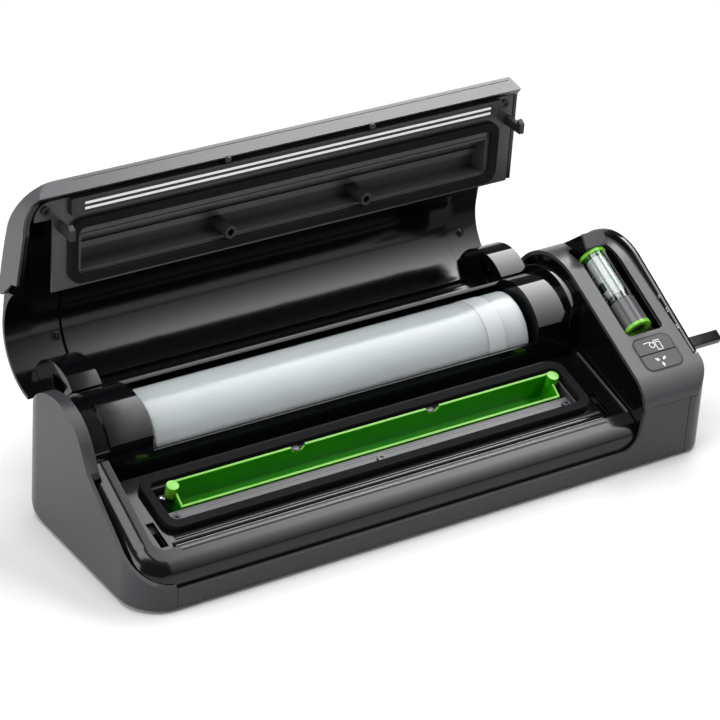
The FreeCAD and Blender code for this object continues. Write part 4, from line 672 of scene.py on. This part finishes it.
# catch tabs on the lid band
lidTabs = {"x": (145.0, 251.6), "half": 2.3, "u": (-5.3, -1.5), "w": (-0.4, 4.4), "round": 0.9}
makeBars("lidTabs", [((x - lidTabs["half"], lidTabs["u"][0], lidTabs["w"][0]),
                      (x + lidTabs["half"], lidTabs["u"][1], lidTabs["w"][1])) for x in lidTabs["x"]],
         lidFrame, "lid_front_band", "blackAbsSatin", lidTabs["round"])

# parting line along the lid band
bandLine = {"low": (42.0, -7.3, 12.3), "high": (366.0, -7.0, 12.7)}
makeBars("bandLine", [(bandLine["low"], bandLine["high"])], lidFrame, "lid_front_band", "blackAbsDull")

# pan-head screws in shallow wells at the lid's two ends
domeScrews = {
    "spots": [(43.2, 185.2, 87.6), (352.0, 185.2, 87.6)],
    "facing": (0, -0.88, 0.48),
    "head": [(0.45, -0.2), (2.1, -0.2), (2.1, 0.5), (1.47, 0.95), (0.45, 1.05), (0.45, 0.4)],
    "well": [(2.2, -0.3), (3.0, -0.3), (3.0, 0.25), (2.6, 0.4), (2.2, 0.3)],
}
makeTurned("domeScrews", domeScrews["spots"], domeScrews["head"], baseFrame, "lid_shell", "screwSteelBlack",
           axis=domeScrews["facing"])
makeTurned("domeScrewWells", domeScrews["spots"], domeScrews["well"], baseFrame, "lid_shell", "blackAbsPolished",
           axis=domeScrews["facing"])

# frosted filter tube inside the clear reservoir, with the collar and the clip that hold it
nozzleFilter = {
    "centre": (397.0, 0, -1.2),
    "steps": 40,
    "tube": [(2.5, 26.0), (5.52, 26.0), (6.9, 29.0), (6.9, 54.5), (6.3, 55.5), (2.5, 55.5)],
    "collar": [(2.5, 21.5), (7.6, 21.5), (7.6, 23.2), (2.5, 23.2)],
    "clip": ((389.0, 31.0, -2.2), (390.8, 37.0, 1.8)),
    "clipRound": 0.3,
}


def makeNozzleInside(s):
    along = (0, 1, 0)
    makeTurned("nozzleFilter", [s["centre"]], s["tube"], towerFrame, "nozzle_reservoir", "frostedPolyethylene",
               axis=along, steps=s["steps"])
    bm = bmesh.new()
    addTurned(bm, s["centre"], s["collar"], axis=along, steps=s["steps"])
    addBox(bm, *s["clip"])
    finishDetail("nozzleClip", bm, towerFrame, "nozzle_reservoir", "blackAbsDull", s["clipRound"])


makeNozzleInside(nozzleFilter)
print("details made")


# studio: white floor, dark ceiling, a long bowed light strip round the right side that fades towards
# the front, and soft boxes on the left, above and behind
studio = {
    "floorSize": 14.0,
    "floorColour": "#dcdcdc",
    "bounceColour": "#8a8a8a",
    "floorRough": 0.7,
    "clear": (0.30, 0.62),
    "horizon": 1.0,
    "ceiling": 0.10,
    "horizonSpan": (0.03, 0.14),
    "strip": {"radius": 2.165, "arcDeg": (46, 168), "across": (0.8, 1.7), "steps": 40,
              "fade": (-2.25, 0.6), "frontShare": 0.06, "strength": (7.0, 11.0)},
    "lamps": [
        {"name": "leftFill", "place": (-1.3, 0.10, 0.45), "along": (0, 1, 0), "size": (0.7, 1.2), "watts": 13},
        {"name": "topFill", "place": (-0.45, -0.10, 1.6), "along": (1, 0, 0), "size": (0.8, 1.2), "watts": 16},
        {"name": "backTop", "place": (-0.2, 1.2, 1.5), "along": (1, 0, 0), "size": (0.5, 1.4), "watts": 6},
    ],
    "aim": (0, 0, 0.06),
}


def stageMesh(name, bm, material):
    mesh = bpy.data.meshes.new(name)
    bm.to_mesh(mesh)
    bm.free()
    mesh.materials.append(material)
    shown = bpy.data.objects.new(name, mesh)
    bpy.context.scene.collection.objects.link(shown)
    return shown


def setFloor(s):
    # white painted board: keeps the shadow near the object, pure white further out
    material, tree, shader, place = startMaterial("whiteBoard", Roughness=s["floorRough"])
    away = addNode(tree, "ShaderNodeVectorMath", {0: place}, operation="LENGTH")
    reach = addNode(tree, "ShaderNodeMapRange", {"Value": away.outputs["Value"], "From Min": s["clear"][0],
                                                 "From Max": s["clear"][1]}, interpolation_type="SMOOTHSTEP")
    path = addNode(tree, "ShaderNodeLightPath")
    mirrored = addNode(tree, "ShaderNodeMath", {0: path.outputs["Is Camera Ray"], 1: path.outputs["Is Glossy Ray"]},
                       operation="MAXIMUM")
    seen = addNode(tree, "ShaderNodeMath", {0: mirrored.outputs[0], 1: path.outputs["Is Transmission Ray"]},
                   operation="MAXIMUM")
    board = addNode(tree, "ShaderNodeMix", {"Factor": seen.outputs[0], "A": hexColour(s["bounceColour"]),
                                            "B": hexColour(s["floorColour"])}, data_type="RGBA")
    tree.links.new(board.outputs["Result"], shader.inputs["Base Color"])
    share = addNode(tree, "ShaderNodeMath", {0: seen.outputs[0], 1: reach.outputs["Result"]}, operation="MULTIPLY")
    white = addNode(tree, "ShaderNodeEmission", {"Color": (1, 1, 1, 1), "Strength": 1.0})
    both = addNode(tree, "ShaderNodeMixShader", {0: share.outputs[0], 1: shader.outputs["BSDF"],
                                                 2: white.outputs["Emission"]})
    tree.links.new(both.outputs["Shader"], tree.nodes["Material Output"].inputs["Surface"])
    bm = bmesh.new()
    bmesh.ops.create_grid(bm, x_segments=1, y_segments=1, size=s["floorSize"])
    stageMesh("studioFloor", bm, material)


def setWorld(s):
    world = bpy.data.worlds.new("studioWorld")
    bpy.context.scene.world = world
    world.use_nodes = True
    tree = world.node_tree
    sky = addNode(tree, "ShaderNodeTexCoord")
    split = addNode(tree, "ShaderNodeSeparateXYZ", {0: sky.outputs["Generated"]})
    level = addNode(tree, "ShaderNodeMapRange", {"Value": split.outputs["Z"], "From Min": s["horizonSpan"][0],
                                                 "From Max": s["horizonSpan"][1], "To Min": s["horizon"],
                                                 "To Max": s["ceiling"]}, interpolation_type="SMOOTHSTEP")
    back = tree.nodes["Background"]
    back.inputs["Color"].default_value = (1, 1, 1, 1)
    tree.links.new(level.outputs["Result"], back.inputs["Strength"])


def setStrip(strip):
    # diffusing cloth lit from behind: brightest at its right rear, fading to the front
    material, tree, _, place = startMaterial("diffuserCloth")
    split = addNode(tree, "ShaderNodeSeparateXYZ", {0: place})
    fade = addNode(tree, "ShaderNodeMapRange", {"Value": split.outputs["Y"], "From Min": strip["fade"][0],
                                                "From Max": strip["fade"][1], "To Min": strip["frontShare"]})
    level = addNode(tree, "ShaderNodeMapRange", {"Value": split.outputs["X"], "From Min": strip["across"][0],
                                                 "From Max": strip["across"][1], "To Min": strip["strength"][0],
                                                 "To Max": strip["strength"][1]})
    power = addNode(tree, "ShaderNodeMath", {0: fade.outputs["Result"], 1: level.outputs["Result"]},
                    operation="MULTIPLY")
    glow = addNode(tree, "ShaderNodeEmission", {"Strength": power.outputs[0]})
    tree.links.new(glow.outputs["Emission"], tree.nodes["Material Output"].inputs["Surface"])
    low, high = (math.radians(a) for a in strip["arcDeg"])
    startY, startZ = strip["radius"] * math.cos(low), strip["radius"] * math.sin(low)
    bm = bmesh.new()
    ends = [bm.verts.new((x, startY, startZ)) for x in strip["across"]]
    edge = bm.edges.new(ends)
    bmesh.ops.spin(bm, geom=[edge, *ends], cent=(0, 0, 0), axis=(1, 0, 0), angle=high - low, steps=strip["steps"])
    bow = stageMesh("lightStrip", bm, material)
    bow.visible_camera = False


def setLamp(lamp, aim):
    light = bpy.data.lights.new(lamp["name"], "AREA")
    light.shape = "RECTANGLE"
    light.size, light.size_y = lamp["size"]
    light.energy = lamp["watts"]
    shown = bpy.data.objects.new(lamp["name"], light)
    back = (Vector(lamp["place"]) - Vector(aim)).normalized()
    along = Vector(lamp["along"])
    along = (along - back * along.dot(back)).normalized()
    turn = Matrix((along.cross(back), along, back)).transposed().to_4x4()
    shown.matrix_world = Matrix.Translation(lamp["place"]) @ turn
    bpy.context.scene.collection.objects.link(shown)


setFloor(studio)
setWorld(studio)
setStrip(studio["strip"])
for lampRow in studio["lamps"]:
    setLamp(lampRow, studio["aim"])
print("studio lit")
